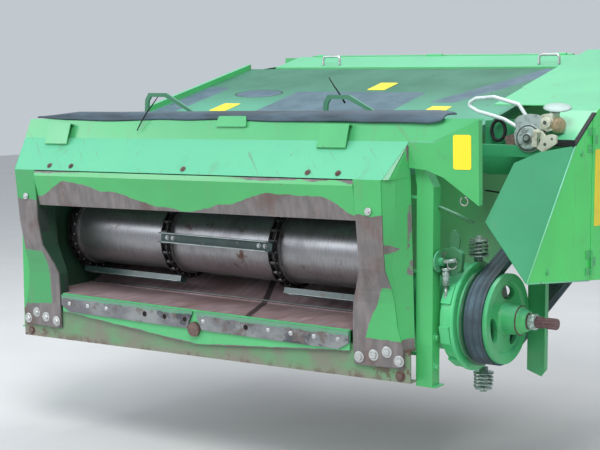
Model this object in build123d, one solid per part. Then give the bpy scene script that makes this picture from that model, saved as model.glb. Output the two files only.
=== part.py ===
"""Feeder house of a combine harvester, with its tilting header frame, chain elevator and belt drive."""
from build123d import *
import math
import os

# The model is drawn with X across the machine (0 on the centre plane, plus towards the belt drive), Y back into
# the machine (0 on the back face of the wear strips) and Z up (0 on the bolt line of the wear strips).
# It is moved at the end so that the left pivot collar is the origin. All sizes are in millimetres.

# Rear pivot, top shaft and front drum
PIVOT_BACK = 1650.0
PIVOT_UP = 720.0
SHAFT_RADIUS = 25.0
COLLAR_RADIUS = 70.0
COLLAR_LENGTH = 60.0
DRUM_BACK = 285.0
DRUM_UP = 272.0
DRUM_RADIUS = 135.0
DRUM_RING_RADIUS = 143.0
AXLE_RADIUS = 20.0
RUNNING_GAP = 0.1
SEAT_GAP = 0.3

# Housing channel
CHANNEL_HALF = 805.0
SIDE_THICK = 6.0
FRONT_PLANE = 62.0
SHEET = 4.0
FLOOR_TOP = 44.0
FLOOR_THICK = 5.0
FLOOR_JOINT = 290.0
FLOOR_END = 1560.0
FLOOR_SLOPE = 0.368
LIP_HALF = 688.0
DECK_HALF = 860.0
DECK_FRONT = 70.0
DECK_END = 1430.0
DECK_AT_ZERO = 568.0
DECK_SLOPE = 0.251
SIDE_SKIRT = 45.0

# Lip plate and wear strips
STRIP_THICK = 8.0
LIP_THICK = 6.0
STRIP_LOW = -27.0
STRIP_HIGH = 39.0
LIP_CENTRE_LOW = -85.0
LIP_END_LOW = -30.0
PIN_UP = -27.0
PIN_RADIUS = 20.0
PIN_HEAD_RADIUS = 27.0

# Tilting header frame, level; it rests turned by FRAME_TILT degrees about the pin
FRAME_TILT = 1.08
BEAM_FRONT = 12.0
BEAM_DEPTH = 40.0
BEAM_HALF = 923.0
BEAM_LOW = -133.0
BEAM_TOP = -20.0
FRAME_REAR = 50.0
FRAME_SHEET = 6.0
HUB_RADIUS = 42.0
FOOT_LOW = -86.0
SEAM_UP = 551.0
SEAM_FRONT = -62.0
SEAM_HALF = 867.0
BEND_UP = 673.0
BEND_BACK = 40.0
BEND_HALF = 910.0
HOOD_TOP = 747.0
HOOD_TOP_BACK = 66.0
HOOD_SHEET = 4.0
SEAM_GAP = 4.0
DEFLECTOR_HALF = 754.7
DEFLECTOR_LOW = 411.0
WING_END = 1172.0
HOOD_RIGHT = 1000.0

# Chain elevator: four strands that carry staggered slats
STRAND_PLACES = (-765.0, -260.0, 260.0, 765.0)
CHAIN_PITCH = 41.4
CHAIN_HEIGHT = 20.0
CHAIN_WAIST = 14.0
CHAIN_WIDTH = 32.0
LINK_COUNT = 90
SPROCKET_TEETH = 16
SPROCKET_THICK = 12.0
SLAT_COUNT = 10
SLAT_WIDTH = 38.0
SLAT_HEIGHT = 22.0
SLAT_SHEET = 4.0

# Belt drive and gear case
DRIVE_BACK = 255.0
DRIVE_UP = 92.0
BELT_OUTER = 160.0
BELT_THICK = 26.0
UPPER_BELT_OUTER = 190.0
GROOVE_INNER = 1072.0
GROOVE_OUTER = 1142.0
GROOVE_SLOPE = 0.23
INNER_RIM = 168.0
OUTER_RIM = 153.0
BELT_SIDE_GAP = 0.5
HUB_LENGTH_END = 1205.0
DRIVE_SHAFT_RADIUS = 28.0
SPLINE_RADIUS = 19.0
SPLINE_START = 1255.0
SPLINE_END = 1340.0
CASE_END = 1035.0
FLANGE_RADIUS = 187.0
FLANGE_END = 1050.0

# Side shield
SHIELD_OUTER = 1300.0
SHIELD_SHEET = 3.0
DOOR_SEAM = 585.0
DOOR_GAP = 6.0
DOOR_END = 1500.0

# Hydraulic coupler
COUPLER_X = 1060.0
COUPLER_BACK = 620.0
COUPLER_UP = 684.0

PLACE = Location((CHANNEL_HALF + SIDE_THICK + COLLAR_LENGTH / 2, -PIVOT_BACK, -PIVOT_UP))


def deck_top(y):
    """Height of the deck's upper face at the distance y."""
    return DECK_AT_ZERO + DECK_SLOPE * y


def yz_slab(points, x_low, x_high):
    """Slab across the machine: an outline of (y, z) points between two X places."""
    face = Plane.YZ.offset(x_low) * make_face(Polyline(*points, close=True))
    return extrude(face, x_high - x_low)


def xz_slab(points, y_low, y_high):
    """Slab along the machine: an outline of (x, z) points between two Y places."""
    face = Plane.XZ.offset(-y_high) * make_face(Polyline(*points, close=True))
    return extrude(face, y_high - y_low)


def xy_slab(points, z_low, z_high):
    """Level slab: an outline of (x, y) points between two heights."""
    face = Plane.XY.offset(z_low) * make_face(Polyline(*points, close=True))
    return extrude(face, z_high - z_low)


def block(x_low, x_high, y_low, y_high, z_low, z_high):
    """Plain block between six planes."""
    return Pos(x_low, y_low, z_low) * Box(
        x_high - x_low, y_high - y_low, z_high - z_low, align=(Align.MIN, Align.MIN, Align.MIN))


def round_x(x_low, x_high, y, z, radius):
    """Round bar along X."""
    return extrude(Plane.YZ.offset(x_low) * Pos(y, z) * Circle(radius), x_high - x_low)


def round_y(y_low, y_high, x, z, radius):
    """Round bar along Y."""
    return extrude(Plane.XZ.offset(-y_high) * Pos(x, z) * Circle(radius), y_high - y_low)


def turned_x(profile, y, z):
    """Body of revolution about an X axis: profile points are (x, radius)."""
    outline = make_face(Polyline(*[(x, 0, r) for x, r in profile], close=True))
    return Pos(0, y, z) * revolve(outline, Axis.X)


def turned_z(profile, x, y):
    """Body of revolution about a Z axis: profile points are (radius, z)."""
    outline = make_face(Polyline(*[(r, 0, z) for r, z in profile], close=True))
    return Pos(x, y, 0) * revolve(outline, Axis.Z)


def bent_sheet(path, thick):
    """Outline of a bent sheet: the path of (a, b) points and the same path moved to its left by the thickness."""
    moved = []
    last = len(path) - 1
    for i, (a, b) in enumerate(path):
        before = path[max(i - 1, 0)]
        after = path[min(i + 1, last)]
        legs = []
        for start, end in ((before, path[i]), (path[i], after)):
            length = math.hypot(end[0] - start[0], end[1] - start[1])
            if length > 0:
                legs.append((-(end[1] - start[1]) / length, (end[0] - start[0]) / length))
        mean = (sum(n[0] for n in legs), sum(n[1] for n in legs))
        scale = thick * len(legs) / (mean[0] ** 2 + mean[1] ** 2)
        moved.append((a + mean[0] * scale, b + mean[1] * scale))
    return list(path) + moved[::-1]


def mirrored(shape):
    """The same piece on the other side of the centre plane."""
    return mirror(shape, about=Plane.YZ)


def tilted(shape):
    """Turns a piece of the header frame from level to its resting tilt about the pin."""
    return shape.rotate(Axis((0, 0, PIN_UP), (0, 1, 0)), -FRAME_TILT)


def loop_outline(front_radius, back_radius, front, back):
    """Closed outline in the YZ plane round two wheels: two tangent lines and two arcs."""
    span = math.dist(front, back)
    lie = math.atan2(back[1] - front[1], back[0] - front[0])
    spread = math.acos((front_radius - back_radius) / span)

    def at(centre, radius, angle):
        return (centre[0] + radius * math.cos(angle), centre[1] + radius * math.sin(angle))

    front_low = at(front, front_radius, lie - spread)
    back_low = at(back, back_radius, lie - spread)
    back_high = at(back, back_radius, lie + spread)
    front_high = at(front, front_radius, lie + spread)
    lines = [
        Line(front_low, back_low),
        ThreePointArc(back_low, at(back, back_radius, lie), back_high),
        Line(back_high, front_high),
        ThreePointArc(front_high, at(front, front_radius, lie + math.pi), front_low),
    ]
    return make_face(lines)


DRUM_CENTRE = (DRUM_BACK, DRUM_UP)
PIVOT_CENTRE = (PIVOT_BACK, PIVOT_UP)
DRIVE_CENTRE = (DRIVE_BACK, DRIVE_UP)
DRUM_PITCH_RADIUS = DRUM_RING_RADIUS + SEAT_GAP + CHAIN_HEIGHT / 2
SPROCKET_PITCH_RADIUS = CHAIN_PITCH / 2 / math.sin(math.pi / SPROCKET_TEETH)


def loop_stations():
    """Stretches of the chain's pitch line: the front arc, lower run, back arc and upper run with their lengths."""
    span = math.dist(DRUM_CENTRE, PIVOT_CENTRE)
    lie = math.atan2(PIVOT_UP - DRUM_UP, PIVOT_BACK - DRUM_BACK)
    spread = math.acos((DRUM_PITCH_RADIUS - SPROCKET_PITCH_RADIUS) / span)
    run = math.sqrt(span ** 2 - (DRUM_PITCH_RADIUS - SPROCKET_PITCH_RADIUS) ** 2)
    return lie, spread, run


def chain_station(distance):
    """Point on the pitch line and outward angle, going forward over the top from the drum's upper tangent point."""
    lie, spread, run = loop_stations()
    front_arc = DRUM_PITCH_RADIUS * 2 * (math.pi - spread)
    back_arc = SPROCKET_PITCH_RADIUS * 2 * spread
    distance = distance % (front_arc + back_arc + 2 * run)
    if distance < front_arc:
        angle = lie + spread + distance / DRUM_PITCH_RADIUS
        return DRUM_BACK + DRUM_PITCH_RADIUS * math.cos(angle), DRUM_UP + DRUM_PITCH_RADIUS * math.sin(angle), angle
    distance -= front_arc
    if distance < run:
        angle = lie - spread
        y = DRUM_BACK + DRUM_PITCH_RADIUS * math.cos(angle) - distance * math.sin(angle)
        z = DRUM_UP + DRUM_PITCH_RADIUS * math.sin(angle) + distance * math.cos(angle)
        return y, z, angle
    distance -= run
    if distance < back_arc:
        angle = lie - spread + distance / SPROCKET_PITCH_RADIUS
        y = PIVOT_BACK + SPROCKET_PITCH_RADIUS * math.cos(angle)
        z = PIVOT_UP + SPROCKET_PITCH_RADIUS * math.sin(angle)
        return y, z, angle
    distance -= back_arc
    angle = lie + spread
    y = PIVOT_BACK + SPROCKET_PITCH_RADIUS * math.cos(angle) - distance * math.sin(angle)
    z = PIVOT_UP + SPROCKET_PITCH_RADIUS * math.sin(angle) + distance * math.cos(angle)
    return y, z, angle


def chain_length():
    """Length of the pitch line."""
    lie, spread, run = loop_stations()
    return DRUM_PITCH_RADIUS * 2 * (math.pi - spread) + SPROCKET_PITCH_RADIUS * 2 * spread + 2 * run


def floor_top(y):
    """Height of the main floor's upper face at the distance y."""
    return FLOOR_TOP + FLOOR_THICK + FLOOR_SLOPE * (y - FLOOR_JOINT)


def housing_side():
    """Right side wall with its front flange and the hole for the pivot collar."""
    outer = CHANNEL_HALF + SIDE_THICK
    rear = PIVOT_BACK + 95.0
    outline = [
        (FRONT_PLANE, -SIDE_SKIRT - 10),
        (FLOOR_JOINT, -SIDE_SKIRT),
        (700, floor_top(700) - SIDE_SKIRT - 70),
        (FLOOR_END, floor_top(FLOOR_END) - SIDE_SKIRT),
        (rear - 35, PIVOT_UP - 110),
        (rear, PIVOT_UP - 60),
        (rear, PIVOT_UP + 100),
        (rear - 60, deck_top(rear - 60) - SHEET - 40),
        (DECK_END, deck_top(DECK_END) - SHEET),
        (FRONT_PLANE, deck_top(FRONT_PLANE) - SHEET),
    ]
    wall = yz_slab(outline, CHANNEL_HALF, outer)
    flange = block(outer, outer + 40, FRONT_PLANE, FRONT_PLANE + 6, -SIDE_SKIRT, deck_top(FRONT_PLANE) - SHEET)
    wall = wall + flange
    return wall - round_x(CHANNEL_HALF - 1, outer + 1, PIVOT_BACK, PIVOT_UP, SHAFT_RADIUS + RUNNING_GAP)


def floor_front():
    """Flat front floor plate: a tongue between the wear plates that widens to the full channel."""
    outline = [
        (-LIP_HALF, LIP_THICK), (LIP_HALF, LIP_THICK), (LIP_HALF, FRONT_PLANE), (CHANNEL_HALF, FRONT_PLANE),
        (CHANNEL_HALF, FLOOR_JOINT), (-CHANNEL_HALF, FLOOR_JOINT), (-CHANNEL_HALF, FRONT_PLANE),
        (-LIP_HALF, FRONT_PLANE),
    ]
    return xy_slab(outline, FLOOR_TOP - FLOOR_THICK, FLOOR_TOP)


def floor_main():
    """Sloped main floor: its front edge lies on the front plate and it rises below the chain."""
    start = FLOOR_JOINT - 20
    top = FLOOR_TOP + FLOOR_THICK
    path = [(start, top), (FLOOR_JOINT, top), (FLOOR_END, floor_top(FLOOR_END))]
    return yz_slab(bent_sheet(path, -FLOOR_THICK), -CHANNEL_HALF, CHANNEL_HALF)


def floor_lip():
    """Upright lip plate with its V lower edge and the hole for the tilt pin."""
    outline = [
        (-LIP_HALF, LIP_END_LOW), (0, LIP_CENTRE_LOW), (LIP_HALF, LIP_END_LOW),
        (LIP_HALF, FLOOR_TOP), (-LIP_HALF, FLOOR_TOP),
    ]
    plate = xz_slab(outline, 0, LIP_THICK)
    return plate - round_y(-1, LIP_THICK + 1, 0, PIN_UP, PIN_RADIUS + RUNNING_GAP)


def wear_strip(side):
    """Hardened strip on one half of the lip, notched for the pin head and cut off at its outer end."""
    outline = [
        (side * 6, STRIP_HIGH), (side * 36, STRIP_LOW), (side * (LIP_HALF - 44), STRIP_LOW),
        (side * LIP_HALF, STRIP_LOW + 25), (side * LIP_HALF, STRIP_HIGH),
    ]
    return xz_slab(outline, -STRIP_THICK, 0)


def pivot_pin():
    """Tilt pin with its worn head in front of the lip plate."""
    shank = round_y(0, FRONT_PLANE + 60, 0, PIN_UP, PIN_RADIUS)
    return shank + round_y(-STRIP_THICK - 6, 0, 0, PIN_UP, PIN_HEAD_RADIUS)


def front_cross_tube():
    """Box tube under the front floor that carries the tilt pin's rear end."""
    low = PIN_UP - 45
    top = FLOOR_TOP - FLOOR_THICK
    tube = block(-CHANNEL_HALF, CHANNEL_HALF, FRONT_PLANE + 4, FRONT_PLANE + 84, low, top)
    tube = tube - block(-CHANNEL_HALF - 1, CHANNEL_HALF + 1, FRONT_PLANE + 10, FRONT_PLANE + 78, low + 6, top - 6)
    tube = tube + round_y(FRONT_PLANE, FRONT_PLANE + 60, 0, PIN_UP, PIN_RADIUS + 20)
    return tube - round_y(FRONT_PLANE - 1, FRONT_PLANE + 61, 0, PIN_UP, PIN_RADIUS + RUNNING_GAP)


LIFT_TUBE_BACK = 620.0
LIFT_TUBE_RADIUS = 45.0
LIFT_BORE_UP = -40.0
LIFT_BORE_RADIUS = 20.0
LIFT_LUG_PLACE = 560.0
LIFT_LUG_THICK = 50.0


def lift_tube_up():
    """Height of the lift tube, just below the sloped floor."""
    lean = math.atan(FLOOR_SLOPE)
    return floor_top(LIFT_TUBE_BACK) - (LIFT_TUBE_RADIUS + FLOOR_THICK + SEAT_GAP) / math.cos(lean)


def lift_tube():
    """Round cross tube under the floor that takes the lift cylinders' push."""
    up = lift_tube_up()
    tube = round_x(-CHANNEL_HALF, CHANNEL_HALF, LIFT_TUBE_BACK, up, LIFT_TUBE_RADIUS)
    return tube - round_x(-CHANNEL_HALF - 1, CHANNEL_HALF + 1, LIFT_TUBE_BACK, up, LIFT_TUBE_RADIUS - 8)


def lift_lug(side):
    """Thick eye round the lift tube, bored for a lift cylinder's pin."""
    up = lift_tube_up()
    low = side * LIFT_LUG_PLACE - LIFT_LUG_THICK / 2
    high = low + LIFT_LUG_THICK
    outline = [
        (LIFT_TUBE_BACK - 60, up + 10), (LIFT_TUBE_BACK - 38, LIFT_BORE_UP),
        (LIFT_TUBE_BACK + 38, LIFT_BORE_UP), (LIFT_TUBE_BACK + 60, up + 10),
    ]
    eye = yz_slab(outline, low, high) + round_x(low, high, LIFT_TUBE_BACK, LIFT_BORE_UP, 38)
    eye = eye - round_x(low - 1, high + 1, LIFT_TUBE_BACK, up, LIFT_TUBE_RADIUS + RUNNING_GAP)
    return eye - round_x(low - 1, high + 1, LIFT_TUBE_BACK, LIFT_BORE_UP, LIFT_BORE_RADIUS)


def pivot_collar(side):
    """Pivot collar on the outside of a side wall, on the top shaft's axis."""
    low = CHANNEL_HALF + SIDE_THICK
    profile = [
        (low, SHAFT_RADIUS + RUNNING_GAP), (low, COLLAR_RADIUS), (low + COLLAR_LENGTH, COLLAR_RADIUS),
        (low + COLLAR_LENGTH, SHAFT_RADIUS + RUNNING_GAP),
    ]
    collar = turned_x(profile, PIVOT_BACK, PIVOT_UP)
    return collar if side > 0 else mirrored(collar)


POST_INNER = BEAM_HALF - 8
POST_OUTER = BEAM_HALF + 55
POST_HIGH = 540.0
POST_CRANK = 605.0
POST_LOW = -127.0
POST_DEPTH = 48.0


def front_post():
    """Upright channel beside the tilting frame, cranked inwards at its top, with a foot plate."""
    back = FRONT_PLANE + 5
    crank_in = POST_INNER - 10
    crank_out = POST_OUTER - 35
    front = [
        (POST_INNER, POST_LOW), (POST_OUTER, POST_LOW), (POST_OUTER, POST_HIGH), (crank_out, POST_CRANK),
        (crank_in, POST_CRANK), (POST_INNER, POST_HIGH),
    ]
    web = [
        (POST_OUTER - 5, POST_LOW), (POST_OUTER, POST_LOW), (POST_OUTER, POST_HIGH), (crank_out, POST_CRANK),
        (crank_out - 6, POST_CRANK), (POST_OUTER - 5, POST_HIGH),
    ]
    post = xz_slab(front, FRONT_PLANE, back) + xz_slab(web, FRONT_PLANE, FRONT_PLANE + POST_DEPTH)
    return post + block(POST_INNER, POST_OUTER + 12, FRONT_PLANE, FRONT_PLANE + 60, POST_LOW - 5, POST_LOW)


def post_shelves():
    """Shelf plates that tie a post to its side wall."""
    inner = CHANNEL_HALF + SIDE_THICK + 40
    back = FRONT_PLANE + 5
    return Compound(children=[block(inner, POST_OUTER - 5, back, back + 40, up, up + 6) for up in (-30, 250, 500)])


def top_shaft():
    """Shaft on the pivot axis with four toothed wheels that drive the chain."""
    end = CHANNEL_HALF + SIDE_THICK + COLLAR_LENGTH
    shaft = round_x(-end + 6, GROOVE_OUTER + 30, PIVOT_BACK, PIVOT_UP, SHAFT_RADIUS)
    return shaft


def sprocket(place):
    """Toothed wheel: one tooth each chain pitch, with tips just short of the strand's inside."""
    root = SPROCKET_PITCH_RADIUS - CHAIN_HEIGHT / 2 - 14
    tip = SPROCKET_PITCH_RADIUS - CHAIN_HEIGHT / 2 - SEAT_GAP
    points = []
    for tooth in range(SPROCKET_TEETH):
        for turn, radius in ((-0.36, root), (-0.16, tip), (0.16, tip), (0.36, root)):
            angle = 2 * math.pi * (tooth + turn) / SPROCKET_TEETH
            points.append((PIVOT_BACK + radius * math.cos(angle), PIVOT_UP + radius * math.sin(angle)))
    low = place - SPROCKET_THICK / 2
    wheel = yz_slab(points, low, low + SPROCKET_THICK)
    return wheel - round_x(low - 1, low + SPROCKET_THICK + 1, PIVOT_BACK, PIVOT_UP, SHAFT_RADIUS + RUNNING_GAP)


def link_middle(number):
    """Middle of a link on the straight line between its two pins, and the outward angle there."""
    y, z, angle = chain_pin(number)
    next_y, next_z, _ = chain_pin(number + 1)
    outward = math.atan2(next_z - z, next_y - y) - math.pi / 2
    return (y + next_y) / 2, (z + next_z) / 2, outward


def chain_pin(number):
    """Place of a pin on the pitch line and the outward angle there."""
    return chain_station(number * chain_length() / LINK_COUNT)


def chain_strand(place):
    """One strand round the drum and the toothed wheel: its links are high at the pins and waisted between them."""
    outside = []
    inside = []
    for number in range(LINK_COUNT):
        for station, height in ((chain_pin(number), CHAIN_HEIGHT), (link_middle(number), CHAIN_WAIST)):
            y, z, angle = station
            outside.append((y + height / 2 * math.cos(angle), z + height / 2 * math.sin(angle)))
            inside.append((y - height / 2 * math.cos(angle), z - height / 2 * math.sin(angle)))
    ring = make_face(Polyline(*outside, close=True)) - make_face(Polyline(*inside, close=True))
    return extrude(Plane.YZ.offset(place - CHAIN_WIDTH / 2) * ring, CHAIN_WIDTH)


def slat(left, right, link):
    """Channel-shaped slat between two strands, seated on the pin bosses at the ends of one link."""
    y, z, angle = link_middle(link)
    half = SLAT_WIDTH / 2
    low = CHAIN_HEIGHT / 2
    path = [(-half, low + SLAT_HEIGHT), (-half, low), (half, low), (half, low + SLAT_HEIGHT)]
    outline = []
    for along, out in bent_sheet(path, SLAT_SHEET):
        across = angle + math.pi / 2
        outline.append((
            y + out * math.cos(angle) + along * math.cos(across),
            z + out * math.sin(angle) + along * math.sin(across)))
    return yz_slab(outline, left - CHAIN_WIDTH / 4, right + CHAIN_WIDTH / 4)


def slats():
    """All slats: one each few links, with the middle section half a step behind the outer ones."""
    step = LINK_COUNT // SLAT_COUNT
    made = []
    # columns: left strand, right strand, first link
    for left, right, first in ((0, 1, 0), (1, 2, step // 2), (2, 3, 0)):
        for link in range(first, LINK_COUNT, step):
            made.append(slat(STRAND_PLACES[left], STRAND_PLACES[right], link))
    return Compound(children=made)


DRUM_HALF = 785.0


def drum():
    """Front drum: a smooth tube with raised rings under the strands."""
    profile = [(-DRUM_HALF, AXLE_RADIUS), (-DRUM_HALF, DRUM_RADIUS)]
    for place in STRAND_PLACES:
        low = max(place - 24, -DRUM_HALF)
        high = min(place + 24, DRUM_HALF)
        profile += [(low, DRUM_RADIUS), (low, DRUM_RING_RADIUS), (high, DRUM_RING_RADIUS), (high, DRUM_RADIUS)]
    profile += [(DRUM_HALF, DRUM_RADIUS), (DRUM_HALF, AXLE_RADIUS)]
    cleaned = [point for i, point in enumerate(profile) if i == 0 or point != profile[i - 1]]
    return turned_x(cleaned, DRUM_BACK, DRUM_UP)


def drum_axle():
    """Axle through the drum, which runs in the swinging arms."""
    return round_x(-DRUM_HALF - 15, DRUM_HALF + 15, DRUM_BACK, DRUM_UP, AXLE_RADIUS)


def drum_arm(side):
    """Swinging arm beside the wall that carries one end of the drum's axle."""
    low = CHANNEL_HALF - 17
    high = CHANNEL_HALF - 5
    arm_back = 640.0
    arm_up = 430.0
    outline = [
        (DRUM_BACK - 40, DRUM_UP - 30), (DRUM_BACK + 15, DRUM_UP - 48), (arm_back + 35, arm_up - 25),
        (arm_back + 30, arm_up + 30), (DRUM_BACK + 10, DRUM_UP + 50), (DRUM_BACK - 40, DRUM_UP + 30),
    ]
    arm = yz_slab(outline, low, high)
    arm = arm - round_x(low - 1, high + 1, DRUM_BACK, DRUM_UP, AXLE_RADIUS + RUNNING_GAP)
    arm = arm + round_x(high, CHANNEL_HALF, arm_back, arm_up, 22)
    return arm if side > 0 else mirrored(arm)


def deck_plate():
    """Sloped top deck with turned-down edges."""
    path = [(DECK_FRONT, deck_top(DECK_FRONT) - SHEET), (DECK_END, deck_top(DECK_END) - SHEET)]
    lean = SHEET * math.sqrt(1 + DECK_SLOPE ** 2)
    outline = [path[0], path[1], (path[1][0], path[1][1] + lean), (path[0][0], path[0][1] + lean)]
    deck = yz_slab(outline, -DECK_HALF, DECK_HALF)
    edge = [path[0], path[1], (path[1][0], path[1][1] - 35), (path[0][0], path[0][1] - 20)]
    for side in (-1, 1):
        low = DECK_HALF - SHEET if side > 0 else -DECK_HALF
        deck = deck + yz_slab(edge, low, low + SHEET)
    return deck


LID_FRONT = DECK_END + 6.0
LID_BACK = 1634.0
LID_LEFT = -700.0
LID_RIGHT = 800.0
LID_RISE = 6.0
LID_HANDLES = (-405.0, 700.0)
LID_AXIS_BACK = 1646.0
LID_AXIS_UP = deck_top(1646.0) + LID_RISE - SHEET / 2
LID_PIN_RADIUS = 5.0
LID_KNUCKLES = ((-600.0, -520.0), (10.0, 90.0), (620.0, 700.0))


def access_lid():
    """Lid over the top shaft, with a turned-down front edge and three hinge knuckles."""
    path = [
        (LID_FRONT, deck_top(LID_FRONT) - 26), (LID_FRONT, deck_top(LID_FRONT) + LID_RISE),
        (LID_BACK, deck_top(LID_BACK) + LID_RISE),
    ]
    lid = yz_slab(bent_sheet(path, -SHEET), LID_LEFT, LID_RIGHT)
    for low, high in LID_KNUCKLES:
        lid = lid + round_x(low, high, LID_AXIS_BACK, LID_AXIS_UP, LID_PIN_RADIUS + 4)
        lid = lid + block(low, high, LID_BACK - 3, LID_AXIS_BACK - 6, LID_AXIS_UP - 4, LID_AXIS_UP)
        lid = lid - round_x(low - 1, high + 1, LID_AXIS_BACK, LID_AXIS_UP, LID_PIN_RADIUS + RUNNING_GAP)
    return lid


def lid_handles():
    """Two bar handles on the lid."""
    made = []
    radius = 6.0
    height = 38.0
    reach = 46.0
    back = LID_FRONT + 40
    foot = deck_top(back + radius) + LID_RISE + SEAT_GAP
    for place in LID_HANDLES:
        path = FilletPolyline(
            (place - reach, back, foot), (place - reach, back, foot + height),
            (place + reach, back, foot + height), (place + reach, back, foot), radius=14)
        made.append(sweep(Plane((place - reach, back, foot), z_dir=(0, 0, 1)) * Circle(radius), path=path))
    return Compound(children=made)


def rear_cross():
    """Bar across the rear end of the side walls with the lid's hinge pin on its ears."""
    top = LID_AXIS_UP - LID_PIN_RADIUS
    bar = block(-CHANNEL_HALF, CHANNEL_HALF, LID_AXIS_BACK + 10, LID_AXIS_BACK + 16, top - 60, top)
    bar = bar + round_x(LID_KNUCKLES[0][0] - 30, LID_KNUCKLES[-1][1] + 30, LID_AXIS_BACK, LID_AXIS_UP, LID_PIN_RADIUS)
    for low, high in LID_KNUCKLES:
        for start in (low - 30, high + 6):
            bar = bar + block(start, start + 24, LID_AXIS_BACK - 2, LID_AXIS_BACK + 16, top - 8, LID_AXIS_UP + 3)
    return bar


EYE_BACK = 390.0
EYE_HEIGHT = 165.0
EYE_BAR = 16.0


def lift_eye(place):
    """Lifting eye on the deck: a loop of flat bar, steep at its left end and sloped at its right."""
    base = deck_top(EYE_BACK + 5) + 0.45
    top = base + EYE_HEIGHT
    outer = [
        (place, base), (place + 12, top - 26), (place + 30, top), (place + 125, top), (place + 290, base + 82),
        (place + 350, base + 12), (place + 350, base),
    ]
    inner = [
        (place + 18, base + EYE_BAR), (place + 30, top - 32), (place + 42, top - EYE_BAR),
        (place + 118, top - EYE_BAR), (place + 270, base + 80), (place + 318, base + EYE_BAR),
    ]
    return xz_slab(outer, EYE_BACK - 5, EYE_BACK + 5) - xz_slab(inner, EYE_BACK - 6, EYE_BACK + 6)


def deck_rims():
    """Raised rims beside the deck: a narrow one on the left and a wide ledge on the right."""
    made = []
    # columns: x low, x high, y low, y high, height
    for x_low, x_high, y_low, y_high, height in ((-856, -838, 690, 1424, 24), (798, 856, 1040, 1424, 26)):
        outline = [
            (y_low, deck_top(y_low) + 0.45), (y_high, deck_top(y_high) + 0.45),
            (y_high, deck_top(y_high) + height), (y_low, deck_top(y_low) + height),
        ]
        made.append(yz_slab(outline, x_low, x_high))
    return Compound(children=made)


def member_levels():
    """Levels of a side member: height, inner edge, outer edge, front of the wear face, fold X and fold Y."""
    # columns: z, x inner, x outer, y wear face, x fold, y fold
    return (
        (BEAM_TOP, 703, 903, 0, 908, 12),
        (55, 703, 881, 0, 888, 10),
        (132, 706, 872, 0, 880, 8),
        (172, 722, 868, -8, 876, 2),
        (249, 755, 856, -36, 868, -12),
        (347, 760, 860, -52, 880, -18),
        (SEAM_UP, 755, 864, -66, 893, -26),
    )


def end_cap():
    """Wedge above a side member that closes the hood's end."""
    low = [(884, -50), (893, -26), (911, FRAME_REAR - 5), (884, FRAME_REAR - 5)]
    high = [(900, 36), (906, 37), (911, FRAME_REAR - 5), (900, FRAME_REAR - 5)]
    faces = []
    for z, outline in ((SEAM_UP + SEAT_GAP, low), (SEAM_UP + 109, high)):
        faces.append(Plane.XY.offset(z) * make_face(Polyline(*outline, close=True)))
    return loft(faces, ruled=True)


def side_member(side):
    """Formed side member of the header frame: a channel lofted through its levels."""
    sections = []
    for z, x_in, x_out, wear, x_fold, y_fold in member_levels():
        front = wear + FRAME_SHEET
        rear_x = BEAM_HALF - 11 * (z - BEAM_LOW) / (SEAM_UP - BEAM_LOW)
        path = [
            (x_in, FRAME_REAR), (x_in, front), (x_out, front), (x_fold, y_fold + FRAME_SHEET),
            (rear_x, FRAME_REAR - 5), (rear_x - 22, FRAME_REAR - 5),
        ]
        sections.append(Plane.XY.offset(z) * make_face(Polyline(*bent_sheet(path, 5.0), close=True)))
    foot = block(703, 903, FRAME_SHEET, BEAM_FRONT, FOOT_LOW, BEAM_TOP)
    member = Compound(children=[loft(sections, ruled=True) + foot, end_cap()])
    return member if side > 0 else mirrored(member)


def wear_plate(side):
    """Wear plate over the face of a side member, narrow at the neck and wide at the foot."""
    sections = []
    for z, x_in, x_out, wear, x_fold, y_fold in member_levels():
        outline = [(x_in, wear), (x_out, wear), (x_out, wear + FRAME_SHEET), (x_in, wear + FRAME_SHEET)]
        sections.append(Plane.XY.offset(z) * make_face(Polyline(*outline, close=True)))
    plate = loft(sections, ruled=True)
    foot = [(708, -78), (703, BEAM_TOP), (903, BEAM_TOP), (895, -76), (880, FOOT_LOW + 4), (722, FOOT_LOW)]
    plate = plate + xz_slab(foot, 0, FRAME_SHEET)
    return plate if side > 0 else mirrored(plate)


def bottom_beam():
    """Channel along the foot of the header frame with the pivot hub at its middle."""
    back = BEAM_FRONT + BEAM_DEPTH
    web = block(-BEAM_HALF, BEAM_HALF, BEAM_FRONT, BEAM_FRONT + 6, BEAM_LOW, BEAM_TOP)
    low = block(-BEAM_HALF, BEAM_HALF, BEAM_FRONT, back, BEAM_LOW, BEAM_LOW + 6)
    top = block(-BEAM_HALF, BEAM_HALF, BEAM_FRONT, back, BEAM_TOP - 6, BEAM_TOP)
    beam = web + low + top + round_y(BEAM_FRONT, back, 0, PIN_UP, HUB_RADIUS)
    return beam - round_y(BEAM_FRONT - 1, back + 1, 0, PIN_UP, PIN_RADIUS + RUNNING_GAP)


def deflector():
    """Sloped lip plate along the top of the opening, with a folded upper and lower edge."""
    path = [
        (-20, SEAM_UP - SEAM_GAP), (SEAM_FRONT - 2, SEAM_UP - SEAM_GAP), (SEAM_FRONT - 6, SEAM_UP - 22),
        (-42, DEFLECTOR_LOW), (0, DEFLECTOR_LOW - 4),
    ]
    return yz_slab(bent_sheet(path, 5.0), -DEFLECTOR_HALF, DEFLECTOR_HALF)


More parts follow.
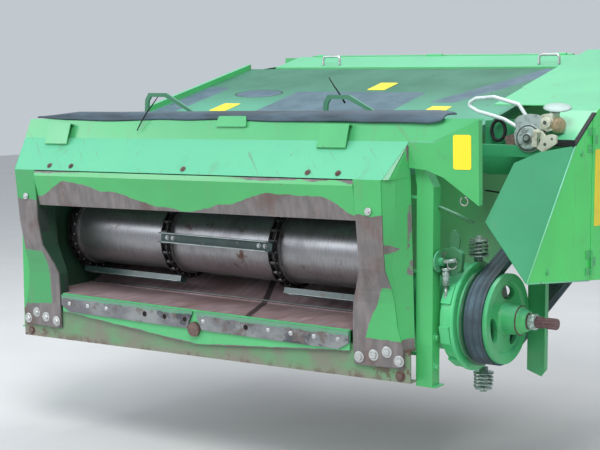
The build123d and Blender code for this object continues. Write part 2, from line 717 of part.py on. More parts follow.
def hood_panel():
    """Sloped hood above the seam and the leaning strip above its bend."""
    front = xz_slab([
        (-SEAM_HALF, SEAM_UP), (SEAM_HALF, SEAM_UP), (BEND_HALF, BEND_UP - 1), (HOOD_RIGHT, BEND_UP - 1),
        (WING_END, HOOD_TOP - 5), (WING_END, HOOD_TOP + 10), (-BEND_HALF + 10, HOOD_TOP + 10), (-BEND_HALF, BEND_UP)],
        SEAM_FRONT - 10, HOOD_TOP_BACK + 20)
    path = [(SEAM_FRONT, SEAM_UP), (BEND_BACK, BEND_UP), (HOOD_TOP_BACK, HOOD_TOP)]
    return yz_slab(bent_sheet(path, -HOOD_SHEET), -BEND_HALF, WING_END) & front


def frame_top_rail():
    """Box rail behind the hood that joins the two side members."""
    return block(-880, 880, 0, 44, SEAM_UP + SEAT_GAP, SEAM_UP + 67.5)


def wing_shield():
    """Upright wing beside the hood with a folded outer edge."""
    inner = BEND_HALF + SEAT_GAP
    outline = [
        (inner, 586), (977, 580), (1042, 556), (WING_END, 468), (WING_END, 744), (1006, 670), (inner, 670),
    ]
    plate = xz_slab(outline, BEND_BACK - 4, BEND_BACK)
    edge = block(WING_END - 4, WING_END, BEND_BACK - 4, BEND_BACK + 20, 470, 742)
    return plate + edge


def rubber_seal():
    """Rubber strip that lies over the top edge of the hood."""
    path = [(62, 738), (68, 753), (100, 764), (135, 768)]
    return yz_slab(bent_sheet(path, 6.0), -745, 1040)


BRACKET_PLACES = (-707.0, 616.0)
BRACKET_HALF = 60.0


def hood_brackets():
    """Two hook plates that hang from the hood's upper strip and stand clear in front of its bend."""
    top = 725.0
    strip = HOOD_TOP_BACK - (HOOD_TOP - top) * (HOOD_TOP_BACK - BEND_BACK) / (HOOD_TOP - BEND_UP)
    path = [(strip - 0.4, top), (strip - 22, top + 6), (strip - 49, top - 73), (strip - 41, top - 78)]
    outline = bent_sheet(path, 4.0)
    return Compound(children=[yz_slab(outline, x - BRACKET_HALF, x + BRACKET_HALF) for x in BRACKET_PLACES])


CASE_RADIUS = 172.0
CASE_NECK = 128.0
CASE_STEP = 986.0
PAD_ANGLES = (15.0, 60.0, 105.0, 150.0, 195.0, 240.0, 285.0, 330.0)


def gear_case():
    """Cast gear case: a foot on the side wall, a round neck and a wide bell with flat pads round it."""
    outer = CHANNEL_HALF + SIDE_THICK
    foot = extrude(Plane.YZ.offset(outer) * Pos(DRIVE_BACK, DRIVE_UP) * RectangleRounded(300, 250, 30), 12)
    case = foot + turned_x([
        (outer + 12, 0), (outer + 12, CASE_NECK), (CASE_STEP - 16, CASE_NECK), (CASE_STEP, CASE_RADIUS - 12),
        (CASE_STEP + 8, CASE_RADIUS), (CASE_END, CASE_RADIUS), (CASE_END, 0)], DRIVE_BACK, DRIVE_UP)
    width = CASE_END - CASE_STEP - 12
    for angle in PAD_ANGLES:
        pad = Pos(CASE_STEP + 8 + width / 2, 0, 0) * Rot(angle, 0, 0) * Pos(0, CASE_RADIUS, 0) * Box(width, 12, 62)
        case = case + Pos(0, DRIVE_BACK, DRIVE_UP) * pad
    return case


def case_flange():
    """Round bearing flange between the gear case and the belt wheel."""
    profile = [
        (CASE_END, DRIVE_SHAFT_RADIUS + RUNNING_GAP), (CASE_END, FLANGE_RADIUS - 8), (CASE_END + 4, FLANGE_RADIUS),
        (FLANGE_END - 3, FLANGE_RADIUS), (FLANGE_END, FLANGE_RADIUS - 4), (FLANGE_END, FLANGE_RADIUS - 30),
        (FLANGE_END + 6, FLANGE_RADIUS - 34), (FLANGE_END + 6, DRIVE_SHAFT_RADIUS + RUNNING_GAP),
    ]
    return turned_x(profile, DRIVE_BACK, DRIVE_UP)


def groove_x(radius, side):
    """X place of a groove wall at a radius, for the inner or the outer half of the belt wheel."""
    if side < 0:
        return GROOVE_INNER + (INNER_RIM - radius) * GROOVE_SLOPE
    return GROOVE_OUTER - (OUTER_RIM - radius) * GROOVE_SLOPE


def drive_sheave():
    """Belt wheel in two halves with a sloped groove; the outer half is pierced round its hub."""
    bore = DRIVE_SHAFT_RADIUS + RUNNING_GAP
    inner = turned_x([
        (FLANGE_END + 10, bore), (FLANGE_END + 10, 60), (GROOVE_INNER - 8, 70), (GROOVE_INNER - 8, INNER_RIM),
        (GROOVE_INNER, INNER_RIM), (groove_x(100, -1), 100), (1100, 60), (1110, 60), (1110, bore)],
        DRIVE_BACK, DRIVE_UP)
    outer = turned_x([
        (1110, bore), (1110, 60), (groove_x(96, 1), 96), (groove_x(OUTER_RIM, 1), OUTER_RIM),
        (GROOVE_OUTER + 16, OUTER_RIM), (GROOVE_OUTER + 16, OUTER_RIM - 28), (GROOVE_OUTER + 6, OUTER_RIM - 34),
        (GROOVE_OUTER + 6, 58), (GROOVE_OUTER + 16, 52), (HUB_LENGTH_END, 48), (HUB_LENGTH_END, bore)],
        DRIVE_BACK, DRIVE_UP)
    for count in range(3):
        window = Plane.YZ.offset(GROOVE_OUTER - 40) * Pos(DRIVE_BACK, DRIVE_UP) * Rot(0, 0, 120 * count + 200)
        window = window * Pos(88, 0) * Ellipse(24, 46)
        outer = outer - extrude(window, 60)
    return inner + outer


def drive_shaft():
    """Shaft of the belt wheel: collar, nut seat and splined output end."""
    profile = [
        (CASE_END + 2, 0), (CASE_END + 2, DRIVE_SHAFT_RADIUS), (1238, DRIVE_SHAFT_RADIUS), (1238, 24),
        (SPLINE_START, 24), (SPLINE_START, SPLINE_RADIUS), (SPLINE_END, SPLINE_RADIUS), (SPLINE_END, 0),
    ]
    return turned_x(profile, DRIVE_BACK, DRIVE_UP)


def drive_belt():
    """Wide belt round the two belt wheels: a tapered section made of stacked loops."""
    layers = 3
    made = None
    for layer in range(layers):
        low = BELT_THICK * layer / layers
        high = BELT_THICK * (layer + 1) / layers
        mid = BELT_OUTER - high
        outside = loop_outline(BELT_OUTER - low, UPPER_BELT_OUTER - low, DRIVE_CENTRE, PIVOT_CENTRE)
        inside = loop_outline(BELT_OUTER - high, UPPER_BELT_OUTER - high, DRIVE_CENTRE, PIVOT_CENTRE)
        left = groove_x(mid, -1) + BELT_SIDE_GAP
        right = groove_x(mid, 1) - BELT_SIDE_GAP
        ring = extrude(Plane.YZ.offset(left) * (outside - inside), right - left)
        made = ring if made is None else made + ring
    return made


def upper_sheave():
    """Belt wheel on the top shaft."""
    bore = SHAFT_RADIUS + RUNNING_GAP
    rise = UPPER_BELT_OUTER - BELT_OUTER
    profile = [
        (GROOVE_INNER - 8, bore), (GROOVE_INNER - 8, INNER_RIM + rise), (GROOVE_INNER, INNER_RIM + rise),
        (groove_x(130, -1), 130 + rise), (groove_x(130, 1), 130 + rise),
        (groove_x(OUTER_RIM, 1), OUTER_RIM + rise), (GROOVE_OUTER + 8, OUTER_RIM + rise), (GROOVE_OUTER + 8, bore),
    ]
    return turned_x(profile, PIVOT_BACK, PIVOT_UP)


SPRING_TOP_PLACE = (1043.0, 256.0)
SPRING_LOW_PLACE = (1043.0, 300.0)


def spring_unit(x, y, base, up):
    """Spring on its rod, with a plate at each end; up is plus or minus one."""
    profile = [(0, base), (16, base), (16, base + up * 18), (36, base + up * 18), (36, base + up * 22)]
    turns = 5
    pitch = 10.0
    for turn in range(turns):
        start = base + up * (22 + turn * pitch)
        profile += [(24, start + up * 1.0), (33, start + up * 4), (33, start + up * 7), (24, start + up * 9.5)]
    end = base + up * (22 + turns * pitch)
    profile += [(30, end), (30, end + up * 4), (12, end + up * 4), (12, end + up * 14), (0, end + up * 14)]
    return turned_z(profile, x, y)


def guard_plate():
    """Plate behind the belt wheel, hung from a rib inside the shield."""
    back = 415.0
    inner = GROOVE_OUTER + 8
    outer = inner + 76
    outline = [
        (inner, 60), (inner, -110), (inner + 55, -128), (outer, -100), (outer, 205),
        (SHIELD_OUTER - SHIELD_SHEET, 222), (SHIELD_OUTER - SHIELD_SHEET, 330), (inner, 330),
    ]
    plate = xz_slab(outline, back, back + 4)
    return plate + block(outer - 4, outer, back - 20, back, -100, 200)


def shield_outline_side():
    """Outline of the fixed side panel."""
    return [(107, 242), (DOOR_SEAM, 193), (DOOR_SEAM, 757), (450, 668)]


def shield_side_panel():
    """Fixed outer side panel with a turned-in bottom edge."""
    panel = yz_slab(shield_outline_side(), SHIELD_OUTER - SHIELD_SHEET, SHIELD_OUTER)
    lip = yz_slab([(120, 243.5), (DOOR_SEAM, 196), (DOOR_SEAM, 199), (120, 246.5)],
                  SHIELD_OUTER - 18, SHIELD_OUTER - SHIELD_SHEET)
    return panel + lip


def shield_front_panel():
    """Slanted front panel between the side panel's front edge and its inner corner."""
    low = Vector(SHIELD_OUTER, 107, 242)
    high = Vector(SHIELD_OUTER, 450, 668)
    inner = Vector(1151, 105, 433)
    normal = (high - low).cross(inner - low).normalized()
    corners = [low, high, Vector(1221, 353, 650), Vector(1168, 270, 616), Vector(1156, 159, 491), inner]
    flat = [c - normal * (c - low).dot(normal) for c in corners]
    face = make_face(Polyline(*flat, close=True))
    shift = normal * -0.2
    return Pos(*(shift.X - 3.2, shift.Y, shift.Z)) * extrude(face, amount=SHIELD_SHEET, dir=normal * -1)


def shield_top():
    """Top cover of the shield, from the front panel's upper edge back over the belt."""
    path = [(452, 664), (628, 781), (DOOR_END, 1004)]
    cover = yz_slab(bent_sheet(path, -SHIELD_SHEET), DECK_HALF + 3, SHIELD_OUTER - SHIELD_SHEET)
    notch = block(DECK_HALF, COUPLER_X + 104, 440, COUPLER_BACK + 70, 640, 840)
    return cover - notch


def shield_door():
    """Hinged rear part of the side panel."""
    front = DOOR_SEAM + DOOR_GAP
    outline = [
        (front, 193), (900, 165), (1180, 240), (DOOR_END, 420), (DOOR_END, 1008), (628, 785), (front, 762),
    ]
    return yz_slab(outline, SHIELD_OUTER - SHIELD_SHEET, SHIELD_OUTER)


HINGE_X = SHIELD_OUTER + 5.0
HINGE_Y = DOOR_SEAM + DOOR_GAP / 2


def hinge_knuckles(side, levels):
    """Hinge barrels on the seam, each with a leaf on the panel (side -1) or on the door (side 1)."""
    made = []
    for low, high in levels:
        barrel = extrude(Plane.XY.offset(low) * Pos(HINGE_X, HINGE_Y) * Circle(4.8), high - low)
        ends = sorted((HINGE_Y, HINGE_Y + side * 40))
        made.append(barrel + block(SHIELD_OUTER + SEAT_GAP, SHIELD_OUTER + 3, ends[0], ends[1], low, high))
    return Compound(children=made)


def shield_arms():
    """Square tubes from the side wall: the front one to the side panel, the rear one up to the top cover."""
    outer = CHANNEL_HALF + SIDE_THICK
    front = block(outer, SHIELD_OUTER - SHIELD_SHEET, 500, 540, 620, 660)
    rear = block(outer, 1240, 1230, 1270, 780, 820) + block(1200, 1240, 1230, 1270, 780, 931.5)
    return Compound(children=[front, rear])


def coupler_bracket():
    """Bracket plate from the deck's edge to the hydraulic coupler."""
    outline = [
        (CHANNEL_HALF + SIDE_THICK, 560), (887, 544), (1029, 550), (COUPLER_X + 50, COUPLER_UP - 44),
        (COUPLER_X + 50, COUPLER_UP + 70), (DECK_HALF + 6, COUPLER_UP + 56), (DECK_HALF + 6, 640),
        (CHANNEL_HALF + SIDE_THICK, 640),
    ]
    return xz_slab(outline, COUPLER_BACK, COUPLER_BACK + 6)


def coupler_body():
    """Cast hydraulic coupler: a round plate in front and a block of sockets beside it."""
    disc = round_y(COUPLER_BACK - 18, COUPLER_BACK, COUPLER_X, COUPLER_UP, 48)
    boss = round_y(COUPLER_BACK - 30, COUPLER_BACK - 18, COUPLER_X, COUPLER_UP, 34)
    arm = block(COUPLER_X - 20, COUPLER_X + 98, COUPLER_BACK - 18, COUPLER_BACK, COUPLER_UP, COUPLER_UP + 66)
    body = block(COUPLER_X + 51, COUPLER_X + 98, COUPLER_BACK, COUPLER_BACK + 60, COUPLER_UP + 12, COUPLER_UP + 92)
    return disc + boss + arm + body


def coupler_handle():
    """Loop handle of the coupler."""
    back = COUPLER_BACK - 37.3
    # columns: x and z from the coupler's centre
    corners = ((12, 44), (-40, 116), (-140, 142), (-214, 136), (-252, 114), (-206, 90), (-100, 64), (-24, 26))
    points = [(COUPLER_X + x, back, COUPLER_UP + z) for x, z in corners]
    path = FilletPolyline(*points, radius=12)
    start = path @ 0
    return sweep(Plane(start, z_dir=path % 0) * Circle(7), path=path)


def latch_parts():
    """Locking pin with its washer on the right post and the small linkage behind it."""
    back = FRONT_PLANE + 26
    pin = round_x(POST_OUTER, POST_OUTER + 26, back, 292, 14)
    return pin + round_x(POST_OUTER + 6, POST_OUTER + 12, back, 292, 36)


def export(name, shape):
    """Moves a piece into the part's frame and writes it."""
    export_step(PLACE * shape, f"parts/{name}.step")


def main():
    """Builds each piece and writes one file for each."""
    os.makedirs("parts", exist_ok=True)
    fixed = {
        "housing_side_right": housing_side(),
        "housing_side_left": mirrored(housing_side()),
        "floor_front": floor_front(),
        "floor_main": floor_main(),
        "floor_lip": floor_lip(),
        "wear_strips": Compound(children=[wear_strip(-1), wear_strip(1)]),
        "pivot_pin": pivot_pin(),
        "front_cross_tube": front_cross_tube(),
        "lift_tube": lift_tube(),
        "lift_lugs": Compound(children=[lift_lug(-1), lift_lug(1)]),
        "pivot_collar_left": pivot_collar(-1),
        "pivot_collar_right": pivot_collar(1),
        "front_post_right": front_post(),
        "front_post_left": mirrored(front_post()),
        "post_shelves": Compound(children=[post_shelves(), mirrored(post_shelves())]),
        "top_shaft": top_shaft(),
        "sprockets": Compound(children=[sprocket(place) for place in STRAND_PLACES]),
        "chain_strands": Compound(children=[chain_strand(place) for place in STRAND_PLACES]),
        "chain_slats": slats(),
        "drum_arm_left": drum_arm(-1),
        "drum_arm_right": drum_arm(1),
        "deck_plate": deck_plate(),
        "rear_cross": rear_cross(),
        "lifting_eyes": Compound(children=[lift_eye(-592), lift_eye(300)]),
        "deck_rims": deck_rims(),
        "gear_case": gear_case(),
        "case_flange": case_flange(),
        "drive_belt": drive_belt(),
        "upper_sheave": upper_sheave(),
        "spring_unit_top": spring_unit(*SPRING_TOP_PLACE, DRIVE_UP + FLANGE_RADIUS + SEAT_GAP, 1),
        "spring_unit_low": spring_unit(*SPRING_LOW_PLACE, DRIVE_UP - FLANGE_RADIUS + 1.6, -1),
        "guard_plate": guard_plate(),
        "shield_side_panel": shield_side_panel(),
        "shield_front_panel": shield_front_panel(),
        "shield_top": shield_top(),
        "shield_arms": shield_arms(),
        "shield_hinge": hinge_knuckles(-1, ((214, 240), (272, 300), (640, 666), (698, 724))),
        "coupler_bracket": coupler_bracket(),
        "coupler_body": coupler_body(),
        "coupler_handle": coupler_handle(),
        "latch_pin": latch_parts(),
        "drum": drum(),
        "drum_axle": drum_axle(),
        "drive_sheave": drive_sheave(),
        "drive_shaft": drive_shaft(),
        "access_lid": access_lid(),
        "lid_handles": lid_handles(),
        "shield_door": shield_door(),
        "door_hinge": hinge_knuckles(1, ((241, 271), (667, 697))),
    }
    moving = {
        "side_member_right": side_member(1),
        "side_member_left": side_member(-1),
        "wear_plate_right": wear_plate(1),
        "wear_plate_left": wear_plate(-1),
        "bottom_beam": bottom_beam(),
        "deflector": deflector(),
        "hood_panel": hood_panel(),
        "frame_top_rail": frame_top_rail(),
        "wing_shield": wing_shield(),
        "rubber_seal": rubber_seal(),
        "hood_brackets": hood_brackets(),
    }
    for name, shape in fixed.items():
        export(name, shape)
    for name, shape in moving.items():
        export(name, tilted(shape))


main()
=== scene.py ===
"""Looks of a combine harvester's feeder house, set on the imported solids."""

import math

import bmesh
import bpy
import numpy as np
from bpy.props import FloatProperty, FloatVectorProperty, IntProperty, PointerProperty
from bpy.types import Operator, Panel, PropertyGroup
from mathutils import Matrix, Vector


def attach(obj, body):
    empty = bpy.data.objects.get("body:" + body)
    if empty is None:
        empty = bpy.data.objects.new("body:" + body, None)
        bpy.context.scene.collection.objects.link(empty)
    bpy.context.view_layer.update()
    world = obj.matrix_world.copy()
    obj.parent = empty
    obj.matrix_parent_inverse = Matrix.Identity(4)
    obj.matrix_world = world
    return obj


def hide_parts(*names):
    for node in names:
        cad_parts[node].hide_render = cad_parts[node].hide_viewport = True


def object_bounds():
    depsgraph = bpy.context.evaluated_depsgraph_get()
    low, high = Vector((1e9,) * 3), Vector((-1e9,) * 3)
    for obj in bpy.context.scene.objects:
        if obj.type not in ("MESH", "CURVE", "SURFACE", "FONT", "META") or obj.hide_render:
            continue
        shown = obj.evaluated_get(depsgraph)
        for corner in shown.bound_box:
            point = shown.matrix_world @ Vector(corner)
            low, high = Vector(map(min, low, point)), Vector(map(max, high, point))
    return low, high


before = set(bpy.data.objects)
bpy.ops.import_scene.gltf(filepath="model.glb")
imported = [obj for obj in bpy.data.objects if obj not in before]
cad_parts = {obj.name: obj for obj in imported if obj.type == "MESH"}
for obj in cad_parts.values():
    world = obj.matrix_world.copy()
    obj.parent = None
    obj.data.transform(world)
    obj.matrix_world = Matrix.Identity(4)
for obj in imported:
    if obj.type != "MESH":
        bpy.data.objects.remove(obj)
SOLID_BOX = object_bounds()

bl_info = {
    "name": "Feeder House Looks",
    "version": (1, 0, 0),
    "blender": (4, 5, 0),
    "location": "3D View > Sidebar > Feeder House",
    "description": "Dresses the solids of a combine harvester's feeder house with worn paint, steel and rubber",
    "category": "Object",
}

# Sizes in millimetres from the machine's centre plane (X), the back of the wear strips (Y) and their bolt line (Z)
MACHINE_TO_PART = np.array((841, -1650, -720))
TILT = math.radians(1.08)
TILT_PIN_UP = -27
DRUM = (285, 272)
TOP_SHAFT = (1650, 720)
DRIVE = np.array((0, 255, 92))
CHAIN_PITCH = 41.4
DRUM_PITCH_RADIUS = 153.3
SPROCKET_PITCH_RADIUS = CHAIN_PITCH / 2 / math.sin(math.pi / 16)
STRANDS = (-765, -260, 260, 765)
LINK_COUNT = 90
LINK_RADIUS = 9
LINK_THICK = 2.8
SLAT_EVERY = 9
SPRING_X = 1043
COUPLER = np.array((1103, 500, 687))
SHIELD_X = 1300
PLATE_THICK = 1.2
PLATE_CORNER = 7

# The studio: lens in millimetres, the camera's place on the machine and its yaw, pitch and roll in degrees
LENS = 84
CAMERA_PLACE = (3314.62, -3908.9, 931.53)
CAMERA_TURN = (35.9415, 6.395, -0.1925)
FLOOR_HALF = 14
FLOOR_GAP = 0.36

SIDES = (-1, 1)
RIGHT = (1, 0, 0)
FRONT = (0, -1, 0)
BACK = (0, 1, 0)
UP = (0, 0, 1)


# ---- places and meshes: a shape is a pair of points and faces

def placed(points, tilted):
    """Machine millimetres to part metres: for the header frame, first a turn by the tilt about the pin's Y axis."""
    points = np.array(points, float)
    if tilted:
        x = points[:, 0].copy()
        z = points[:, 2] - TILT_PIN_UP
        points[:, 0] = x * math.cos(TILT) - z * math.sin(TILT)
        points[:, 2] = x * math.sin(TILT) + z * math.cos(TILT) + TILT_PIN_UP
    return (points + MACHINE_TO_PART) / 1000


def add_piece(name, shape, finishes, body, smooth=True, uses=None):
    """Mesh object from a shape in machine millimetres, riding on a body; uses is each face's finish by number."""
    points, faces = shape
    mesh = bpy.data.meshes.new(name)
    mesh.from_pydata(placed(points, body == "tilt_frame").tolist(), [], faces)
    work = bmesh.new()
    work.from_mesh(mesh)
    bmesh.ops.recalc_face_normals(work, faces=work.faces)
    work.to_mesh(mesh)
    work.free()
    for one in finishes.split():
        mesh.materials.append(finish(one))
    if uses is not None:
        mesh.polygons.foreach_set("material_index", np.array(uses, np.int32))
    mesh.polygons.foreach_set("use_smooth", np.full(len(mesh.polygons), smooth))
    mesh.update()
    piece = bpy.data.objects.new(name, mesh)
    bpy.context.scene.collection.objects.link(piece)
    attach(piece, body)
    return piece


def spots(*axes):
    """Points from arrays of their coordinates, each spread over the others' shape."""
    return np.stack(np.broadcast_arrays(*axes), -1)


def circle(count):
    """Cosines and sines of evenly spread angles, once round."""
    angle = np.linspace(0, 2 * math.pi, count, endpoint=False)
    return np.cos(angle), np.sin(angle)


def lofted(rows, ends="capped"):
    """Skin over rows of points, each row a closed loop; the ends are capped, open, or joined to each other."""
    rows = np.asarray(rows, float)
    count, sides = rows.shape[:2]
    row, place = np.divmod(np.arange((count if ends == "joined" else count - 1) * sides), sides)
    next_row, next_place = (row + 1) % count, (place + 1) % sides
    faces = spots(row * sides + place, row * sides + next_place,
                  next_row * sides + next_place, next_row * sides + place).tolist()
    if ends == "capped":
        faces += [list(range(sides)), list(range((count - 1) * sides, count * sides))[::-1]]
    return rows.reshape(-1, 3), faces


def join_parts(parts):
    """Several shapes as one."""
    points, faces, start = [], [], 0
    for own_points, own_faces in parts:
        points.append(own_points)
        faces += [[i + start for i in face] for face in own_faces]
        start += len(own_points)
    return np.concatenate(points), faces


def grouped(*groups):
    """Groups of shapes as one shape, and for each of its faces the number of its group."""
    uses = [number for number, group in enumerate(groups) for _, faces in group for _ in faces]
    return join_parts([shape for group in groups for shape in group]), uses


def turned(profile, sides, ends="capped"):
    """Turned shape about +X from (x, radius) pairs: x stays, and y and z are the radius times cosine and sine."""
    cos, sin = circle(sides)
    return lofted([spots(x, r * cos, r * sin) for x, r in profile], ends)


def tube(path, radius, sides=10):
    """Tube round a path: at each point a circle across the tangent, in a frame carried along without twist."""
    path = np.asarray(path, float)
    tangent = np.gradient(path, axis=0)
    tangent /= np.linalg.norm(tangent, axis=1)[:, None]
    side = np.cross(tangent[0], UP)
    if np.linalg.norm(side) < 0.1:
        side = np.cross(tangent[0], BACK)
    across = []
    for way in tangent:
        side = side - way * np.dot(side, way)
        side /= np.linalg.norm(side)
        across.append(side)
    across = np.array(across)
    upward = np.cross(across, tangent)
    cos, sin = circle(sides)
    ring = across[:, None] * cos[:, None] + upward[:, None] * sin[:, None]
    return lofted(path[:, None] + ring * np.broadcast_to(radius, len(path))[:, None, None])


def prism(outline, low, high):
    """Straight bar along +X whose section is an outline of (y, z) points, between two X places."""
    return lofted([[(x, *point) for point in outline] for x in (low, high)])


def repeated(shape, centres, axis):
    """Copies of a shape whose own axis is +X, turned to the given axis and moved to each centre."""
    turn = np.array(Vector(RIGHT).rotation_difference(Vector(axis).normalized()).to_matrix())
    return join_parts([(shape[0] @ turn.T + centre, shape[1]) for centre in np.asarray(centres, float)])


def carried(shape, origin, x_way, y_way):
    """A shape put with its own X and Y axes along two given ways and its own origin at a place."""
    x_way = np.asarray(x_way, float) / np.linalg.norm(x_way)
    z_way = np.cross(x_way, y_way)
    z_way /= np.linalg.norm(z_way)
    return shape[0] @ np.stack([x_way, np.cross(z_way, x_way), z_way]) + origin, shape[1]


def round_corners(outline, radius):
    """Outline with rounded corners: each corner becomes a quadratic blend between the points a radius away from it."""
    outline = np.asarray(outline, float)
    t = np.linspace(0, 1, 4)[:, None]
    made = []
    for before, corner, after in zip(np.roll(outline, 1, 0), outline, np.roll(outline, -1, 0)):
        arms = (before - corner, after - corner)
        lengths = [np.linalg.norm(arm) for arm in arms]
        reach = min(radius, 0.45 * min(lengths))
        first, last = (corner + arm / length * reach for arm, length in zip(arms, lengths))
        made.append((1 - t) ** 2 * first + 2 * t * (1 - t) * corner + t ** 2 * last)
    return np.concatenate(made)


def front_plate(outline, back, front, radius=6, origin=(0, 0, 0)):
    """Plate across Y with rounded corners, from an outline of (x, z) points about an origin, between two Y places."""
    shape = prism(round_corners(outline, radius), 0, back - front)
    return carried(shape, np.add(origin, (0, back, 0)), FRONT, RIGHT)


def hex_bolt(radius, height, washer):
    """Bolt head on a washer, its own axis along +X: a low turned shape of six sides with a domed face."""
    head = turned([(0, radius), (height * 0.75, radius), (height, radius * 0.82), (height, radius * 0.3)], 6)
    ring = turned([(-0.5, washer), (1.6, washer), (2.2, washer * 0.94), (2.2, radius * 0.5)], 20)
    return join_parts([ring, head])


def dome_bolt(radius, height):
    """Round-headed bolt, its own axis along +X: a turned quarter circle, not quite closed at its tip."""
    angle = np.linspace(0, math.pi / 2 * 0.96, 6)
    return turned(spots(height * np.sin(angle), radius * np.cos(angle)), 18)


def soften(piece, width):
    """Bevels a piece's sharp edges."""
    bevel = piece.modifiers.new("edges", "BEVEL")
    bevel.width = width / 1000
    bevel.segments = 2
    bevel.limit_method = "ANGLE"
    bevel.angle_limit = math.radians(40)


# ---- finishes

class Value:
    """Output of a node; arithmetic on it puts more nodes into the same material."""

    def __init__(self, socket):
        self.socket = socket

    def __add__(self, other):
        return worked("ADD", self, other)

    def __sub__(self, other):
        return worked("SUBTRACT", self, other)

    def __rsub__(self, other):
        return worked("SUBTRACT", other, self)

    def __mul__(self, other):
        return worked("MULTIPLY", self, other)

    def __truediv__(self, other):
        return worked("DIVIDE", self, other)

    def __abs__(self):
        return worked("ABSOLUTE", self)

    def ramp(self, low, high, start=0, end=1, kind="SMOOTHSTEP"):
        """Step of the value between low and high, from start to end and held beyond them."""
        inputs = {"Value": self, "From Min": low, "From Max": high, "To Min": start, "To Max": end}
        return add_node(self.socket.id_data, "MapRange", "Result", inputs, interpolation_type=kind, clamp=True)


def put(socket, value):
    """Links a node's input to a value, or sets its plain number, place or colour."""
    if isinstance(value, Value):
        socket.id_data.links.new(value.socket, socket)
    elif socket.type == "RGBA":
        socket.default_value = (*value, 1)
    else:
        socket.default_value = value


def add_node(tree, kind, output, inputs, **settings):
    """Adds a node with its settings and inputs, and gives back one of its outputs."""
    node = tree.nodes.new("ShaderNode" + kind)
    for name, value in settings.items():
        setattr(node, name, value)
    for name, value in inputs.items():
        put(node.inputs[name], value)
    return Value(node.outputs[output])


def worked(operation, first, second=0):
    """Result of a sum on two values, one of which may be a plain number."""
    owner = first if isinstance(first, Value) else second
    return add_node(owner.socket.id_data, "Math", 0, {0: first, 1: second}, operation=operation)


def least(first, *others):
    """Smallest of several values."""
    for other in others:
        first = worked("MINIMUM", first, other)
    return first


def most(first, *others):
    """Largest of several values."""
    for other in others:
        first = worked("MAXIMUM", first, other)
    return first


def toned(color, share):
    """A colour with its three parts multiplied."""
    return tuple(part * share for part in color)


class Finish:
    """A node material while it is put together."""

    def __init__(self, name):
        self.material = bpy.data.materials.new(name)
        self.material.use_nodes = True
        self.tree = self.material.node_tree
        self.shader = self.tree.nodes["Principled BSDF"]
        self.place = self.node("TexCoord", "Object", {})
        self.normal = None

    def node(self, kind, output, inputs, **settings):
        """Adds a node to this material."""
        return add_node(self.tree, kind, output, inputs, **settings)

    def stretched(self, scale, slant=0):
        """Object coordinates turned about Y by an angle in degrees and then scaled by axis."""
        place = self.place
        if slant:
            place = self.node("Mapping", "Vector", {"Vector": place, "Rotation": (0, math.radians(slant), 0)})
        return self.node("Mapping", "Vector", {"Vector": place, "Scale": scale})

    def noise(self, scale, detail=4, rough=0.55, place=None, distort=0):
        """Value of a noise pattern, about 0 to 1."""
        return self.node("TexNoise", "Fac", {"Vector": place or self.place, "Scale": scale, "Detail": detail,
                                             "Roughness": rough, "Distortion": distort})

    def curve(self, value, stops):
        """Piecewise curve: (place, height) stops over 0 to 1."""
        output = self.node("ValToRGB", "Color", {"Fac": value})
        ramp = output.socket.node.color_ramp
        ramp.interpolation = "EASE"
        while len(ramp.elements) < len(stops):
            ramp.elements.new(0.5)
        for element, (place, height) in zip(ramp.elements, stops):
            element.position = place
            element.color = (height, height, height, 1)
        return output

    def mix(self, share, first, second):
        """Blend of two colours, whose inputs are the node's seventh and eighth."""
        return self.node("Mix", 2, {0: share, 6: first, 7: second}, data_type="RGBA")

    def axis(self, letter):
        """One of the machine's coordinates in millimetres at the shaded point, as it rests."""
        own = self.node("SeparateXYZ", letter, {"Vector": self.place})
        return own * 1000 - float(MACHINE_TO_PART["XYZ".index(letter)])

    def level(self):
        """Height above the bolt line in the header frame, which leans by the tilt."""
        return self.axis("Z") - self.axis("X") * math.sin(TILT)

    def facing(self, letter):
        """How far the surface faces along an axis, -1 to 1."""
        return self.node("SeparateXYZ", letter, {"Vector": self.node("TexCoord", "Normal", {})})

    def facing_centre(self):
        """How far the surface faces the machine's centre plane, 0 to 1, for the painted shade on the inside of the side
        walls.
        """
        side = self.axis("X").ramp(-1, 1, 1, -1, "LINEAR")
        return (self.facing("X") * side).ramp(0.5, 0.8)

    def bump(self, height, strength, distance):
        """Adds a bump to the surface, its distance in millimetres."""
        inputs = {"Strength": strength, "Distance": distance / 1000, "Height": height}
        if self.normal:
            inputs["Normal"] = self.normal
        self.normal = self.node("Bump", "Normal", inputs)

    def done(self, color, metallic=0, rough=0.5, coat=0, specular=0.5):
        """Connects the shader and gives back the material."""
        inputs = {"Base Color": color, "Metallic": metallic, "Roughness": rough, "Coat Weight": coat,
                  "Coat Roughness": 0.25, "Specular IOR Level": specular}
        if self.normal:
            inputs["Normal"] = self.normal
        for name, value in inputs.items():
            put(self.shader.inputs[name], value)
        return self.material


GREEN = (0.056, 0.375, 0.109)
# pale mint for faces that look up: partly dust, partly painted top light
GREEN_DUST_AND_TOP_LIGHT = (0.165, 0.56, 0.385)
BARE = (0.135, 0.121, 0.118)
RUST = (0.115, 0.06, 0.045)


